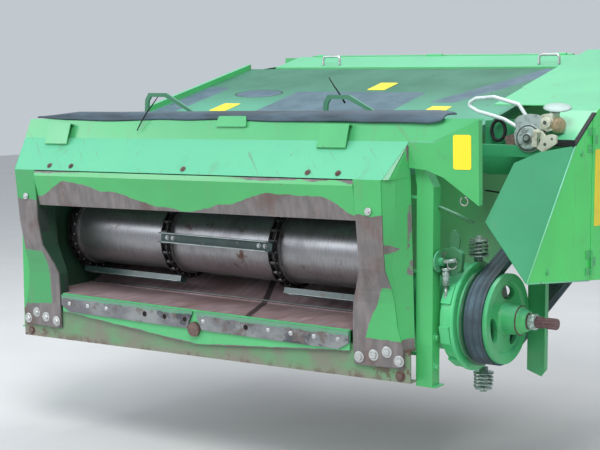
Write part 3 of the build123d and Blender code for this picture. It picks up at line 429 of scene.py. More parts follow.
def green_paint(f, dust=0.3, chips=0.006, worn=None, tone=GREEN, scratches=0, inside=0, shaded=None):
    """Glossy green paint: cloudy tone, dust with painted top light on what faces up, chips to brown metal and fine
    scratches.

    worn, if given, is a function of the finish that returns the share of bare metal at each point.
    inside is how far the faces toward the machine's centre are darkened with painted shade.
    shaded, if given, is the X range in millimetres over which painted shade, dark toward the machine, gives way to
    plain paint, outward.
    """
    cloud = f.noise(3, 5)
    color = f.mix(cloud.ramp(0.3, 0.7), tone, toned(tone, 1.16))
    # faces that look up turn paler mint: real dust and painted top light
    color = f.mix(f.facing("Z").ramp(0.15, 0.85) * dust, color, GREEN_DUST_AND_TOP_LIGHT)
    color = f.mix(f.noise(9, 8, 0.65).ramp(0.56, 0.8, 0, 0.35), color, (0.1, 0.2, 0.1))
    streaks = f.noise(14, 3, 0.6, f.stretched((1, 1, 0.12)))
    color = f.mix(streaks.ramp(0.6, 0.74, 0, 0.25), color, (0.16, 0.22, 0.13))
    if scratches:
        lines = f.noise(1, 4, 0.6, f.stretched((70, 4, 2.2), 52))
        color = f.mix(lines.ramp(0.645, 0.7, 0, scratches), color, (0.17, 0.2, 0.13))
    chip = f.noise(26, 9, 0.68, distort=0.4).ramp(0.69 - chips, 0.705 - chips)
    if worn:
        chip = most(chip, worn(f))
    rubbed = f.noise(34, 6, 0.6, f.stretched((1, 1, 0.22)))
    metal = f.mix(rubbed.ramp(0.35, 0.7), BARE, (0.21, 0.18, 0.176))
    metal = f.mix(f.noise(7, 5).ramp(0.5, 0.7, 0, 0.7), metal, RUST)
    color = f.mix(chip, color, metal)
    # painted shade on the inboard side, fading out outward over the shaded range
    if shaded:
        color = f.mix(f.axis("X").ramp(*shaded, 0.85, 0), color, (0.01, 0.045, 0.022))
    # painted shade on the faces toward the machine's centre, inside the feeder house's mouth
    if inside:
        inside_shade_green = f.mix(cloud, (0.01, 0.022, 0.018), (0.03, 0.056, 0.046))
        color = f.mix(f.facing_centre() * inside, color, inside_shade_green)
    f.bump(f.noise(160, 3), 0.1, 0.4)
    f.bump(1 - chip, 0.35, 0.5)
    return f.done(color, 0, cloud.ramp(0.3, 0.7, 0.3, 0.42) + chip * 0.22, coat=0.15)


def bare_patch(f, mask, edge):
    """Share of wear from a signed distance in millimetres, its edge broken up by noise."""
    return (mask + (f.noise(11, 6, 0.6) - 0.5) * (edge * 2.4)).ramp(-1.2, 1.2)


def deflector_wear(f):
    """Bare band along the lower edge of the deflector: its height follows a curve across the machine."""
    height = f.curve(f.axis("X").ramp(-760, 760, kind="LINEAR"),
                     ((0, 0.3), (0.1, 0.78), (0.25, 0.52), (0.42, 0.12), (0.52, 0.02), (0.62, 0.3),
                      (0.76, 0.66), (0.9, 0.6), (1, 0.12)))
    level = f.level()
    lower_band = bare_patch(f, height * 128 + 410 - level, 12)
    top_edge = bare_patch(f, level - 540, 16)
    return most(lower_band, top_edge * abs(f.axis("X") + 150).ramp(330, 480))


def plate_wear(side, field_top, slope):
    """Bare metal on a wear plate apart from the green tongue at its top and a green field near its foot."""
    def share(f):
        level = f.level()
        field = least(field_top - level, level - 6, f.axis("X") * side - 745 - level * slope)
        return bare_patch(f, least(432 - level, field * -1), 17)
    return share


def member_wear(f):
    """Rust at the rear corner, the foot and the kink of the side members."""
    y, z = f.axis("Y"), f.axis("Z")
    kink = 34 - abs(z - 335) - (abs(f.axis("X")) - 800) * 0.38
    rear = least(y - 30, f.noise(5, 3) - 0.55) * 40
    return bare_patch(f, most(30 - z, least(kink, 8 - y), rear), 12)


def lip_wear(f):
    """Chips along the lower edge of the lip plate, which rises toward its middle."""
    return bare_patch(f, abs(f.axis("X")) * 0.08 - f.axis("Z") - 82, 5)


def beam_paint(f):
    """Dirty pale green beam with mud film and rust at its lower edge and ends."""
    mud = f.noise(8, 7, 0.62).ramp(0.34, 0.62, 0.25, 1)
    color = f.mix(mud, (0.105, 0.31, 0.13), (0.195, 0.205, 0.15))
    low = (f.level() + f.noise(9, 6) * 60).ramp(-112, -70, 0.75, 0)
    color = f.mix(low, color, (0.24, 0.2, 0.17))
    ends = abs(f.axis("X")).ramp(640, 900)
    color = f.mix(f.noise(17, 8, 0.66).ramp(0.5, 0.58) * most(ends, low), color, RUST)
    f.bump(f.noise(60, 6), 0.25, 0.8)
    return f.done(color, 0, mud.ramp(0.2, 1, 0.45, 0.7))


def floor_steel(f):
    """Brown floor plate polished in streaks by the crop, with a dark joint at its middle."""
    streak = f.noise(12, 6, 0.6, f.stretched((4, 0.6, 1)))
    color = f.mix(streak.ramp(0.3, 0.7), (0.31, 0.215, 0.225), (0.5, 0.365, 0.38))
    color = f.mix(f.noise(3, 5).ramp(0.4, 0.65, 0, 0.5), color, (0.24, 0.135, 0.11))
    slant = f.axis("X") + (f.axis("Y") - 33) * 0.475
    joint = abs(slant - 229) + f.noise(20, 4) * 8
    color = f.mix(joint.ramp(15, 21, 0.85, 0), color, (0.03, 0.022, 0.022))
    cells = f.node("TexVoronoi", "Distance", {"Vector": f.place, "Scale": 30})
    specks = cells.ramp(0.05, 0.11, 1, 0) * f.noise(4).ramp(0.45, 0.6)
    color = f.mix(specks, color, (0.5, 0.4, 0.36))
    f.bump(streak, 0.2, 0.6)
    return f.done(color, 0.15, streak.ramp(0.3, 0.7, 0.35, 0.55))


def deck_paint(f):
    """Deck: dull green, darker towards the machine in painted shade, with slate-blue fields worn by boots and two
    outlined covers.
    """
    x, y = f.axis("X"), f.axis("Y")
    near = f.mix(f.noise(3, 6).ramp(0.35, 0.65), (0.085, 0.31, 0.2), (0.1, 0.36, 0.24))
    far = f.mix(f.noise(4, 6).ramp(0.35, 0.65), (0.04, 0.15, 0.095), (0.062, 0.2, 0.135))
    # painted shade: the deck darkens towards the machine
    color = f.mix(y.ramp(700, 1150), near, far)
    # columns: value across, low, high, y low, y high
    fields = most(*(least(across - low, high - across, y - y_low, y_high - y) for across, low, high, y_low, y_high in (
        (x, -285, 365, 100, 1046), (x, -830, -700, 560, 1105),
        (x - (y - 970) * 0.49, 490, 606, 900, 1500))))
    worn = (fields + (f.noise(9, 7, 0.62) - 0.5) * 26).ramp(-2, 3, 0, 0.95)
    slate = f.mix(f.noise(12, 6).ramp(0.35, 0.65), (0.075, 0.125, 0.165), (0.105, 0.165, 0.21))
    color = f.mix(worn, color, slate)
    oval_x, oval_y = (x + 470) / 125, (y - 1005) / 62
    oval = oval_x * oval_x + oval_y * oval_y
    color = f.mix(oval.ramp(0.86, 0.9, 1, 0), color, slate)
    color = f.mix(abs(oval - 0.95).ramp(0.05, 0.09, 0.9, 0), color, (0.02, 0.045, 0.035))
    color = f.mix(f.noise(24, 8, 0.66).ramp(0.64, 0.7, 0, 0.6), color, (0.04, 0.07, 0.055))
    f.bump(f.noise(90, 4), 0.15, 0.4)
    return f.done(color, 0, 0.55, specular=0.3)


def strip_steel(f):
    """Hardened strips: bluish grey steel, brown stains and green paint left along the upper edge."""
    cloud = f.noise(7, 6, 0.62, f.stretched((1, 1, 1.6)))
    color = f.mix(cloud.ramp(0.35, 0.65), (0.15, 0.148, 0.16), (0.265, 0.28, 0.275))
    color = f.mix(f.noise(16, 8, 0.66).ramp(0.5, 0.62, 0, 0.8), color, (0.13, 0.095, 0.08))
    color = f.mix(f.noise(11, 7, 0.62).ramp(0.55, 0.63, 0, 0.8), color, (0.045, 0.05, 0.065))
    top = f.axis("Z") + (f.noise(14, 7, 0.64) - 0.5) * 34
    color = f.mix(top.ramp(23, 28, 0, 0.85), color, (0.125, 0.34, 0.2))
    f.bump(f.noise(60, 5), 0.2, 0.5)
    return f.done(color, 0.25, cloud.ramp(0.3, 0.7, 0.42, 0.6))


def steel(f, dark, light, rough=(0.25, 0.45), metallic=0.6, grain=(1, 18, 18), rust=0, depth=0.15):
    """Metal with fine lines along one axis, darker clouds and a little rust."""
    lines = f.noise(24, 5, 0.6, f.stretched(grain))
    cloud = f.noise(6, 6, 0.6)
    color = f.mix(lines.ramp(0.3, 0.7), dark, light)
    color = f.mix(cloud.ramp(0.45, 0.7, 0, 0.5), color, toned(dark, 0.5))
    color = f.mix(f.noise(13, 8, 0.65).ramp(0.62 - rust, 0.72 - rust), color, RUST)
    f.bump(lines, depth, 0.3)
    return f.done(color, metallic, cloud.ramp(0.3, 0.7, *rough))


def rubber(f, color, lines=None, rib_pitch=0):
    """Dusty black rubber with an uneven bluish bloom and, on a belt, ribs along its run with painted shade in stripes.
    """
    bloom = f.noise(9, 7, 0.62, lines and f.stretched(lines))
    tint = f.mix(bloom.ramp(0.35, 0.7), toned(color, 0.55), toned(color, 1.5))
    if rib_pitch:
        wave = worked("SINE", f.axis("X") * (2 * math.pi / rib_pitch))
        # painted shade: darker stripes along the ribs
        tint = f.mix(wave.ramp(0.35, 0.95, 0, 0.6), tint, toned(color, 0.35))
        f.bump(wave, 0.5, 1.5)
    f.bump(f.noise(120, 4), 0.2, 0.4)
    return f.done(tint, 0, bloom.ramp(0.3, 0.7, 0.5, 0.75))


def blank_plate(f):
    """Yellow plate with a faint film of dust."""
    film = f.noise(14, 6).ramp(0.5, 0.75, 0, 0.3)
    return f.done(f.mix(film, (0.9, 0.72, 0.02), (0.55, 0.5, 0.2)), 0, 0.38)


def cast_metal(f, light, dark, oily=0.45, metallic=0.2):
    """Cast metal with oil in its hollows."""
    color = f.mix(f.noise(26, 8, 0.65).ramp(oily, oily + 0.2, 0, 0.75), light, dark)
    f.bump(f.noise(80, 6), 0.3, 0.6)
    return f.done(color, metallic, 0.48)


def plain(f, color, rough=0.6):
    """One colour with faint clouds."""
    return f.done(f.mix(f.noise(20, 5).ramp(0.3, 0.7), color, toned(color, 0.7)), 0, rough, specular=0.25)


def pale_floor(f, color):
    """Matt studio floor with very faint clouds."""
    return f.done(f.mix(f.noise(3, 3).ramp(0.3, 0.7), color, toned(color, 0.97)), 0, 0.9)


EVEN_GRAIN = (6, 6, 6)
RECIPES = {
    green_paint: {
        "hood": dict(dust=0.85, chips=0.004, scratches=0.55),
        "body": dict(dust=0.5, chips=0.004, tone=(0.062, 0.425, 0.126)),
        # a darker copy of the green: painted shade on the drum arms and lifting eyes
        "painted_shade_inner": dict(chips=0.02, tone=(0.04, 0.19, 0.1)),
        "deflector": dict(dust=0.5, chips=0.01, worn=deflector_wear),
        # the inside faces of the members and side walls get painted shade
        "member": dict(dust=0.45, chips=0.02, worn=member_wear, inside=0.93),
        "side": dict(dust=0.5, chips=0.004, inside=0.93),
        "panel": dict(dust=0.25, tone=(0.064, 0.68, 0.133)),
        # a darker copy of the green: painted shade on the shield's front panel, its arms and the coupler bracket
        "painted_shade_green": dict(dust=0.25, tone=(0.033, 0.275, 0.112)),
        "knob": dict(chips=0.1, tone=(0.06, 0.33, 0.14)),
        "plate_right": dict(dust=0.4, chips=0.02, worn=plate_wear(1, 190, 0.42)),
        "plate_left": dict(chips=0.03, worn=plate_wear(-1, 225, 0.1), tone=(0.048, 0.29, 0.095)),
        "cast_green": dict(dust=0.35, chips=0.01, tone=(0.08, 0.54, 0.2)),
        "wheel_green": dict(dust=0.35, chips=0.01, tone=(0.05, 0.33, 0.12)),
        # the drive sheave's inboard side carries painted shade
        "wheel_paint": dict(dust=0.35, chips=0.02, tone=(0.058, 0.4, 0.14), shaded=(1122, 1140)),
        "lip": dict(chips=0.012, worn=lip_wear, tone=(0.085, 0.44, 0.16)),
        "slat": dict(dust=0.1, chips=0.1, tone=(0.03, 0.062, 0.055)),
        # a darker copy of the green: painted shade on the latch bar and casting
        "painted_shade_latch_green": dict(chips=0.06, tone=(0.03, 0.16, 0.06)),
        # paler green along the shield's folded edges: worn paint and a painted highlight
        "worn_and_highlit_edge": dict(dust=0.8, chips=0.05, tone=(0.16, 0.55, 0.27)),
    },
    steel: {
        "drum": dict(dark=(0.25, 0.237, 0.24), light=(0.34, 0.335, 0.345), rough=(0.33, 0.42), metallic=0.8,
                     grain=(14, 1, 1), rust=0.01, depth=0.04),
        "chain": dict(dark=(0.03, 0.03, 0.032), light=(0.09, 0.085, 0.08), rough=(0.3, 0.5), metallic=0.8),
        "pin": dict(dark=(0.45, 0.44, 0.42), light=(0.68, 0.66, 0.63), rough=(0.25, 0.4), metallic=0.9),
        "bright": dict(dark=(0.42, 0.43, 0.42), light=(0.66, 0.67, 0.66), rough=(0.28, 0.45)),
        "spring": dict(dark=(0.16, 0.24, 0.2), light=(0.52, 0.64, 0.58), rough=(0.25, 0.4), metallic=0.4,
                       grain=EVEN_GRAIN),
        "rusty": dict(dark=(0.12, 0.07, 0.06), light=(0.22, 0.15, 0.13), rough=(0.5, 0.7), metallic=0.4,
                      grain=EVEN_GRAIN, rust=0.08),
        "spline": dict(dark=(0.1, 0.05, 0.055), light=(0.22, 0.14, 0.14), rough=(0.4, 0.6)),
        "worn_edge": dict(dark=(0.3, 0.34, 0.33), light=(0.52, 0.57, 0.55), rough=(0.3, 0.45), metallic=0.5),
    },
    cast_metal: {
        "alloy": dict(light=(0.66, 0.72, 0.72), dark=(0.4, 0.45, 0.45), oily=0.55, metallic=0.3),
        "cast": dict(light=(0.37, 0.45, 0.43), dark=(0.13, 0.14, 0.12)),
        "cast_pale": dict(light=(0.6, 0.62, 0.5), dark=(0.26, 0.25, 0.18), oily=0.5),
        "cast_brown": dict(light=(0.42, 0.33, 0.2), dark=(0.2, 0.15, 0.09), oily=0.5),
        "flap": dict(light=(0.34, 0.45, 0.42), dark=(0.2, 0.27, 0.25), oily=0.55),
        "oily": dict(light=(0.085, 0.1, 0.092), dark=(0.035, 0.04, 0.036)),
    },
    rubber: {
        "belt": dict(color=(0.052, 0.086, 0.108), rib_pitch=23),
        "seal": dict(color=(0.05, 0.08, 0.105), lines=(0.3, 1, 1)),
    },
    plain: {
        "black": dict(color=(0.018, 0.02, 0.022)),
        # near-black that paints the shade inside an empty bolt hole
        "hollow": dict(color=(0.012, 0.012, 0.012), rough=0.8),
    },
    beam_paint: {"beam": {}},
    floor_steel: {"floor": {}},
    deck_paint: {"deck": {}},
    strip_steel: {"strip": {}},
    blank_plate: {"plate": {}},
}
FINISHES = {}


def finish(name):
    """Finish of that name, made once."""
    if name not in FINISHES:
        maker, options = next((maker, rows[name]) for maker, rows in RECIPES.items() if name in rows)
        FINISHES[name] = maker(Finish(name + "_finish"), **options)
    return FINISHES[name]


NODE_FINISHES = {
    "hood": "hood_panel hood_brackets wing_shield",
    "side": "housing_side_right housing_side_left",
    "panel": "shield_side_panel shield_door",
    "body": "front_post_right front_post_left post_shelves lift_tube lift_lugs deck_rims pivot_collar_left"
            " pivot_collar_right rear_cross shield_top access_lid frame_top_rail front_cross_tube shield_hinge"
            " door_hinge",
    # drum arms and lifting eyes wear the darker green that paints their shade
    "painted_shade_inner": "drum_arm_left drum_arm_right lifting_eyes",
    "deflector": "deflector",
    "member": "side_member_left side_member_right",
    "plate_left": "wear_plate_left",
    "plate_right": "wear_plate_right",
    "cast_green": "gear_case case_flange",
    "wheel_paint": "drive_sheave",
    "wheel_green": "upper_sheave guard_plate",
    # these parts wear the darker green that paints their shade
    "painted_shade_green": "shield_front_panel coupler_bracket shield_arms",
    "beam": "bottom_beam",
    "lip": "floor_lip",
    "floor": "floor_front floor_main",
    "deck": "deck_plate",
    "strip": "wear_strips",
    "drum": "drum drum_axle",
    "slat": "chain_slats",
    "chain": "chain_strands sprockets",
    "bright": "top_shaft lid_handles",
    "spring": "spring_unit_top spring_unit_low",
    "knob": "latch_pin",
    "alloy": "coupler_handle",
    "rusty": "pivot_pin",
    "spline": "drive_shaft",
    "belt": "drive_belt",
    "seal": "rubber_seal",
    "cast": "coupler_body",
}


# ---- sizes and colours a user may change

class HeaderFrameSizes(PropertyGroup):
    """Sizes of the header frame's dress."""

    bolt_radius: FloatProperty(
        name="Bolt radius", description="Radius of the wear plate bolt heads", default=13, min=4, max=25)
    seal_wave: FloatProperty(
        name="Seal wave", description="Height of the waves in the rubber seal", default=3, min=0, max=8)


class DriveSizes(PropertyGroup):
    """Sizes of the drive's dress."""

    spline_teeth: IntProperty(
        name="Spline teeth", description="Teeth round the output shaft", default=14, min=6, max=40)
    spring_turns: IntProperty(
        name="Spring turns", description="Turns of each spring", default=4, min=2, max=12)
    spring_wire: FloatProperty(
        name="Spring wire", description="Radius of the spring wire", default=3.6, min=1, max=8)


class StageSizes(PropertyGroup):
    """The studio."""

    floor_color: FloatVectorProperty(
        name="Floor colour", description="Colour of the floor and backdrop", subtype="COLOR",
        default=(0.66, 0.66, 0.66), min=0, max=1)
    light: FloatProperty(name="Light", description="Strength of the studio light", default=1, min=0, max=5)


# ---- operators

class FEEDER_OT_stage(Operator):
    """Makes the floor, the lights and the camera"""

    bl_idname = "feeder.stage"
    bl_label = "Stage"

    def execute(self, context):
        sizes = context.scene.feeder_stage
        scene = context.scene
        mesh = bpy.data.meshes.new("studio_floor")
        corners = [(x * FLOOR_HALF, y * FLOOR_HALF, SOLID_BOX[0][2] - FLOOR_GAP)
                   for x, y in ((-1, -1), (1, -1), (1, 1), (-1, 1))]
        mesh.from_pydata(corners, [], [(0, 1, 2, 3)])
        mesh.materials.append(pale_floor(Finish("pale_floor"), tuple(sizes.floor_color)))
        floor = bpy.data.objects.new("studio_floor", mesh)
        scene.collection.objects.link(floor)
        world = bpy.data.worlds.new("studio_sky")
        scene.world = world
        world.use_nodes = True
        sky = world.node_tree.nodes["Background"]
        sky.inputs["Color"].default_value = (0.86, 0.93, 1, 1)
        sky.inputs["Strength"].default_value = 0.62 * sizes.light
        # columns: name, place, aimed at, width, height, watts, colour
        for name, place, aim, width, height, watts, color in (
                ("key_light", (3.2, -5.2, 5), (0.9, -1.4, -0.4), 3.2, 3.2, 330, (1, 1, 1)),
                ("fill_light", (-3, -5.2, 1.45), (0.8, -1.4, -0.45), 3.8, 1.3, 120, (0.87, 0.94, 1)),
                ("top_light", (0.8, 0.6, 4.5), (0.8, -0.8, 0), 3.5, 3.5, 150, (1, 1, 1))):
            lamp = bpy.data.lights.new(name, "AREA")
            lamp.shape = "RECTANGLE"
            lamp.size, lamp.size_y = width, height
            lamp.energy = watts * sizes.light
            lamp.color = color
            light = bpy.data.objects.new(name, lamp)
            light.location = place
            light.rotation_euler = (Vector(aim) - Vector(place)).to_track_quat("-Z", "Y").to_euler()
            scene.collection.objects.link(light)
        lens = bpy.data.cameras.new("photo_camera")
        lens.sensor_width = 36
        lens.lens = LENS
        lens.clip_end = 100
        camera = bpy.data.objects.new("photo_camera", lens)
        yaw, pitch, roll = (math.radians(angle) for angle in CAMERA_TURN)
        camera.matrix_world = (Matrix.Translation(placed([CAMERA_PLACE], False)[0])
                               @ Matrix.Rotation(yaw, 4, "Z")
                               @ Matrix.Rotation(math.pi / 2 - pitch, 4, "X")
                               @ Matrix.Rotation(roll, 4, "Z"))
        scene.collection.objects.link(camera)
        scene.camera = camera
        scene.view_settings.view_transform = "Standard"
        return {"FINISHED"}


class FEEDER_OT_paint(Operator):
    """Gives each solid its finish"""

    bl_idname = "feeder.paint"
    bl_label = "Paint the solids"

    def execute(self, context):
        named = {node: name for name, nodes in NODE_FINISHES.items() for node in nodes.split()}
        for node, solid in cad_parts.items():
            material = finish(named[node])
            if not solid.material_slots:
                solid.data.materials.append(material)
            for slot in solid.material_slots:
                slot.material = material
        return {"FINISHED"}


class FEEDER_OT_bolts(Operator):
    """Puts the bolts on the header frame and on the housing"""

    bl_idname = "feeder.bolts"
    bl_label = "Bolts"

    def execute(self, context):
        radius = context.scene.feeder_header.bolt_radius

        def bolts(name, finishes, body, slot, *sets, smooth=False):
            """One piece from sets of one bolt's shape, its places and the way its head looks."""
            add_piece(name, join_parts([repeated(*one) for one in sets]), finishes, body, smooth)

        plate = ((727, -59), (786, -47), (839, -32), (887, -59))
        bolts("wear_plate_bolts", "bright", "tilt_frame", "bright_steel",
              (hex_bolt(radius, 9, radius * 1.5), [(side * x, 0, z) for side in SIDES for x, z in plate], FRONT),
              (hex_bolt(8, 6, 13), [(side * 811, -62, 446) for side in SIDES], (0, -1, 0.1)))
        bolts("beam_studs", "rusty", "tilt_frame", "rusty_steel",
              (hex_bolt(13, 10, 21), [(side * 884, 14, -112) for side in SIDES], FRONT))
        bolts("hood_seam_bolts", "rusty", "tilt_frame", "rusty_steel",
              (hex_bolt(7, 6, 11), [(x, -48.654, 568.522) for x in (-684, -567, 3, 560, 685)], (0, -122, 102)))
        filled = (-444, -544, -644, 44, 344, 444, 544, 644)
        bolts("wear_strip_bolts", "bright", "housing", "bright_steel",
              (dome_bolt(9, 3), [(x, -8, 6) for x in filled], FRONT), smooth=True)
        empty = [(x, -8, 6) for x in (-44, -144, -244, 244)]
        rim = turned([(-0.5, 11.5), (0.5, 11.5), (0.9, 10.6), (0.4, 9.4), (0.2, 0.5)], 20)
        # a rim's faces: three rusty rings, the ring that closes the hole in near-black painted shade, the cap at its
        # back and the one at its front, also in painted shade
        uses = ([0] * 60 + [1] * 20 + [0, 1]) * len(empty)
        add_piece("wear_strip_holes", repeated(rim, empty, FRONT), "rusty hollow", "housing", False,
                  uses)
        angle = np.radians(np.arange(8) * 45 + 20)
        ring = spots(1046, 178 * np.cos(angle), 178 * np.sin(angle)) + DRIVE
        bolts("housing_bolts", "body", "housing", "green_paint",
              (hex_bolt(11, 9, 17), [(978, 84, z) for z in (-66, 34)], RIGHT),
              (hex_bolt(8, 5, 12), [(SHIELD_X, 500, 640), (SHIELD_X, 250, 262)], RIGHT),
              (hex_bolt(6, 5, 8), ring, RIGHT))
        cap = dome_bolt(4.5, 2.5)
        bolts("hinge_rivets", "body", "housing", "green_paint",
              (cap, [(SHIELD_X + 3, 560, z) for z in (227, 286, 653, 711)], RIGHT), smooth=True)
        bolts("door_rivets", "body", "door_body", "green_paint",
              (cap, [(SHIELD_X + 3, 616, z) for z in (256, 682)], RIGHT), smooth=True)
        return {"FINISHED"}


def chain_place(distance):
    """Points (y, z) on the chain's pitch line for an array of distances along it, and the line's length.

    The line is an arc round the drum, a tangent, an arc round the toothed wheel and a tangent back. On an arc the
    angle grows by the distance over the radius; on a tangent the point moves off square to the angle it starts at.
    """
    drum, top = np.array(DRUM), np.array(TOP_SHAFT)
    span = float(np.linalg.norm(top - drum))
    lie = math.atan2(top[1] - drum[1], top[0] - drum[0])
    less = DRUM_PITCH_RADIUS - SPROCKET_PITCH_RADIUS
    spread = math.acos(less / span)
    run = math.sqrt(span ** 2 - less ** 2)
    ends = np.cumsum((0, DRUM_PITCH_RADIUS * 2 * (math.pi - spread), run, SPROCKET_PITCH_RADIUS * 2 * spread, run))
    distance = np.asarray(distance, float) % ends[4]
    stage = np.searchsorted(ends[1:4], distance, "right")
    past = distance - ends[stage]
    radius = np.array((DRUM_PITCH_RADIUS, DRUM_PITCH_RADIUS, SPROCKET_PITCH_RADIUS, SPROCKET_PITCH_RADIUS))[stage]
    straight = stage % 2
    angle = lie + spread * np.array((1, -1, -1, 1))[stage] + (1 - straight) * past / radius
    centre = np.array((drum, drum, top, top))[stage]
    outward = spots(radius * np.cos(angle), radius * np.sin(angle))
    onward = spots(-straight * past * np.sin(angle), straight * past * np.cos(angle))
    return centre + outward + onward, ends[4]


def chain_joints():
    """Places (y, z) of the chain's joints, from the first one round to the first again, and their pitch."""
    pitch = chain_place(0)[1] / LINK_COUNT
    return chain_place(np.arange(LINK_COUNT + 1) * pitch)[0], pitch


class FEEDER_OT_chain(Operator):
    """Makes the four chain strands, link by link"""

    bl_idname = "feeder.chain"
    bl_label = "Feeder chain"

    def execute(self, context):
        joints, pitch = chain_joints()
        # the outline of one link plate: two half circles and the straight sides between them
        bend = np.linspace(-math.pi / 2, math.pi / 2, 6)
        tip = LINK_RADIUS * spots(np.cos(bend), np.sin(bend))
        outline = np.concatenate([tip + (pitch, 0), -tip])
        roller = turned([(-9.5, 8), (9.5, 8)], 10)
        pin = turned([(-15.8, 4.2), (15.8, 4.2)], 8)
        links, pins = [], []
        for strand in STRANDS:
            for i in range(LINK_COUNT):
                way = joints[i + 1] - joints[i]
                way /= np.linalg.norm(way)
                flat = joints[i] + outline @ np.array((way, (-way[1], way[0])))
                wide = 12.6 if i % 2 else 9.6
                for low in (strand - wide - LINK_THICK, strand + wide):
                    links.append(prism(flat, low, low + LINK_THICK))
                centre = np.array((strand, *joints[i]))
                links.append((roller[0] + centre, roller[1]))
                pins.append((pin[0] + centre, pin[1]))
        shape, uses = grouped(links, pins)
        chain = add_piece("feeder_chain", shape, "chain pin", "housing", False, uses)
        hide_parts("chain_strands")
        return {"FINISHED"}


class FEEDER_OT_slats(Operator):
    """Puts the polished edges and the bolts on the chain's slats"""

    bl_idname = "feeder.slats"
    bl_label = "Slat edges"

    def execute(self, context):
        joints, _ = chain_joints()
        edges, bolts = [], []
        # the strands on both sides and the first link: the middle slats are half a step behind the outer ones
        for near, far, first in ((STRANDS[0], STRANDS[1], 0), (STRANDS[1], STRANDS[2], 4), (STRANDS[2], STRANDS[3], 0)):
            for link in range(first, LINK_COUNT, SLAT_EVERY):
                along = joints[link + 1] - joints[link]
                along /= np.linalg.norm(along)
                outward = np.array((along[1], -along[0]))
                middle = (joints[link] + joints[link + 1]) / 2
                for side in SIDES:
                    edge = [middle + a * side * along + o * outward
                            for a, o in ((15.6, 31.2), (19.2, 31.2), (19.2, 32.3), (15.6, 32.3))]
                    edges.append(prism(edge, near + 8.5, far - 8.5))
                seats = [(x, *(middle + outward * 13.5)) for x in (near + 24, near + 52, far - 52, far - 24)]
                bolts.append(repeated(hex_bolt(6.5, 6, 9.5), seats, (0, *outward)))
        shape, uses = grouped(edges, bolts)
        add_piece("slat_edges", shape, "worn_edge bright", "housing", False, uses)
        return {"FINISHED"}


class FEEDER_OT_drive(Operator):
    """Makes the springs, the splined shaft, the hub's nut and the shaft's collar"""

    bl_idname = "feeder.drive"
    bl_label = "Drive"

    def execute(self, context):
        sizes = context.scene.feeder_drive
        # the rod through a spring, with its foot, its two spring seats and its end, as (height, radius)
        rod = turned([(0, 16), (18, 16), (18, 35), (20.5, 36), (22, 34), (22, 11),
                      (72, 11), (72, 30), (76, 30), (76, 12), (86, 12), (86, 4)], 24)
        # columns: name, the solid it stands for, y, foot's height, up or down
        for name, unit, y, foot, up in (("spring_top", "spring_unit_top", 256, 279.3, 1),
                                        ("spring_low", "spring_unit_low", 300, -93.4, -1)):
            t = np.linspace(0, 1, sizes.spring_turns * 24 + 1)
            angle = t * sizes.spring_turns * 2 * math.pi
            helix = spots(SPRING_X + 31 * np.cos(angle), y + 31 * np.sin(angle), foot + up * (22 + 50 * t))
            shape = join_parts([tube(helix, sizes.spring_wire, 8),
                                repeated(rod, [(SPRING_X, y, foot)], (0, 0, up))])
            piece = add_piece(name, shape, "spring", "housing")
            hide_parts(unit)
        # eight points a tooth: a sine cut off flat above and below
        cos, sin = circle(sizes.spline_teeth * 8)
        tooth = np.tile(1.1 * np.clip(circle(8)[1] * 2.2, -1, 1), sizes.spline_teeth)
        # columns: x, radius, share of the tooth's height
        stations = ((1037, 28, 0), (1205, 28, 0), (1236, 28, 0), (1238, 26.5, 0), (1238.5, 23.5, 0), (1255, 23.5, 0),
                    (1255.5, 18, 1), (1290, 17.9, 1), (1292, 15.6, 0), (1299, 15.6, 0), (1301, 17.9, 1),
                    (1337, 17.9, 1), (1340, 16, 0.6))
        rows = [spots(x, (r + share * tooth) * cos, (r + share * tooth) * sin) + DRIVE for x, r, share in stations]
        shaft = add_piece("splined_shaft", lofted(rows), "spline", "sheave_body", False)
        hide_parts("drive_shaft")
        nut = turned([(1205.5, 46), (1208, 47), (1212, 47), (1213, 38), (1232, 36), (1236, 33), (1236, 28.6)],
                     28, "open")
        add_piece("hub_nut", repeated(nut, [DRIVE], RIGHT), "body", "sheave_body")
        collar = turned([(1240, 18.5), (1240, 26), (1242, 27.5), (1262, 27.5), (1264, 26), (1264, 18.5)], 28)
        ring = turned([(1205.2, 47.4), (1205.2, 50.5), (1206.6, 51.5), (1209, 51.5), (1209, 47.4)], 28)
        shape, uses = grouped([collar], [ring])
        add_piece("shaft_collar", repeated(shape, [DRIVE], RIGHT), "spring rusty", "sheave_body",
                  uses=uses)
        return {"FINISHED"}


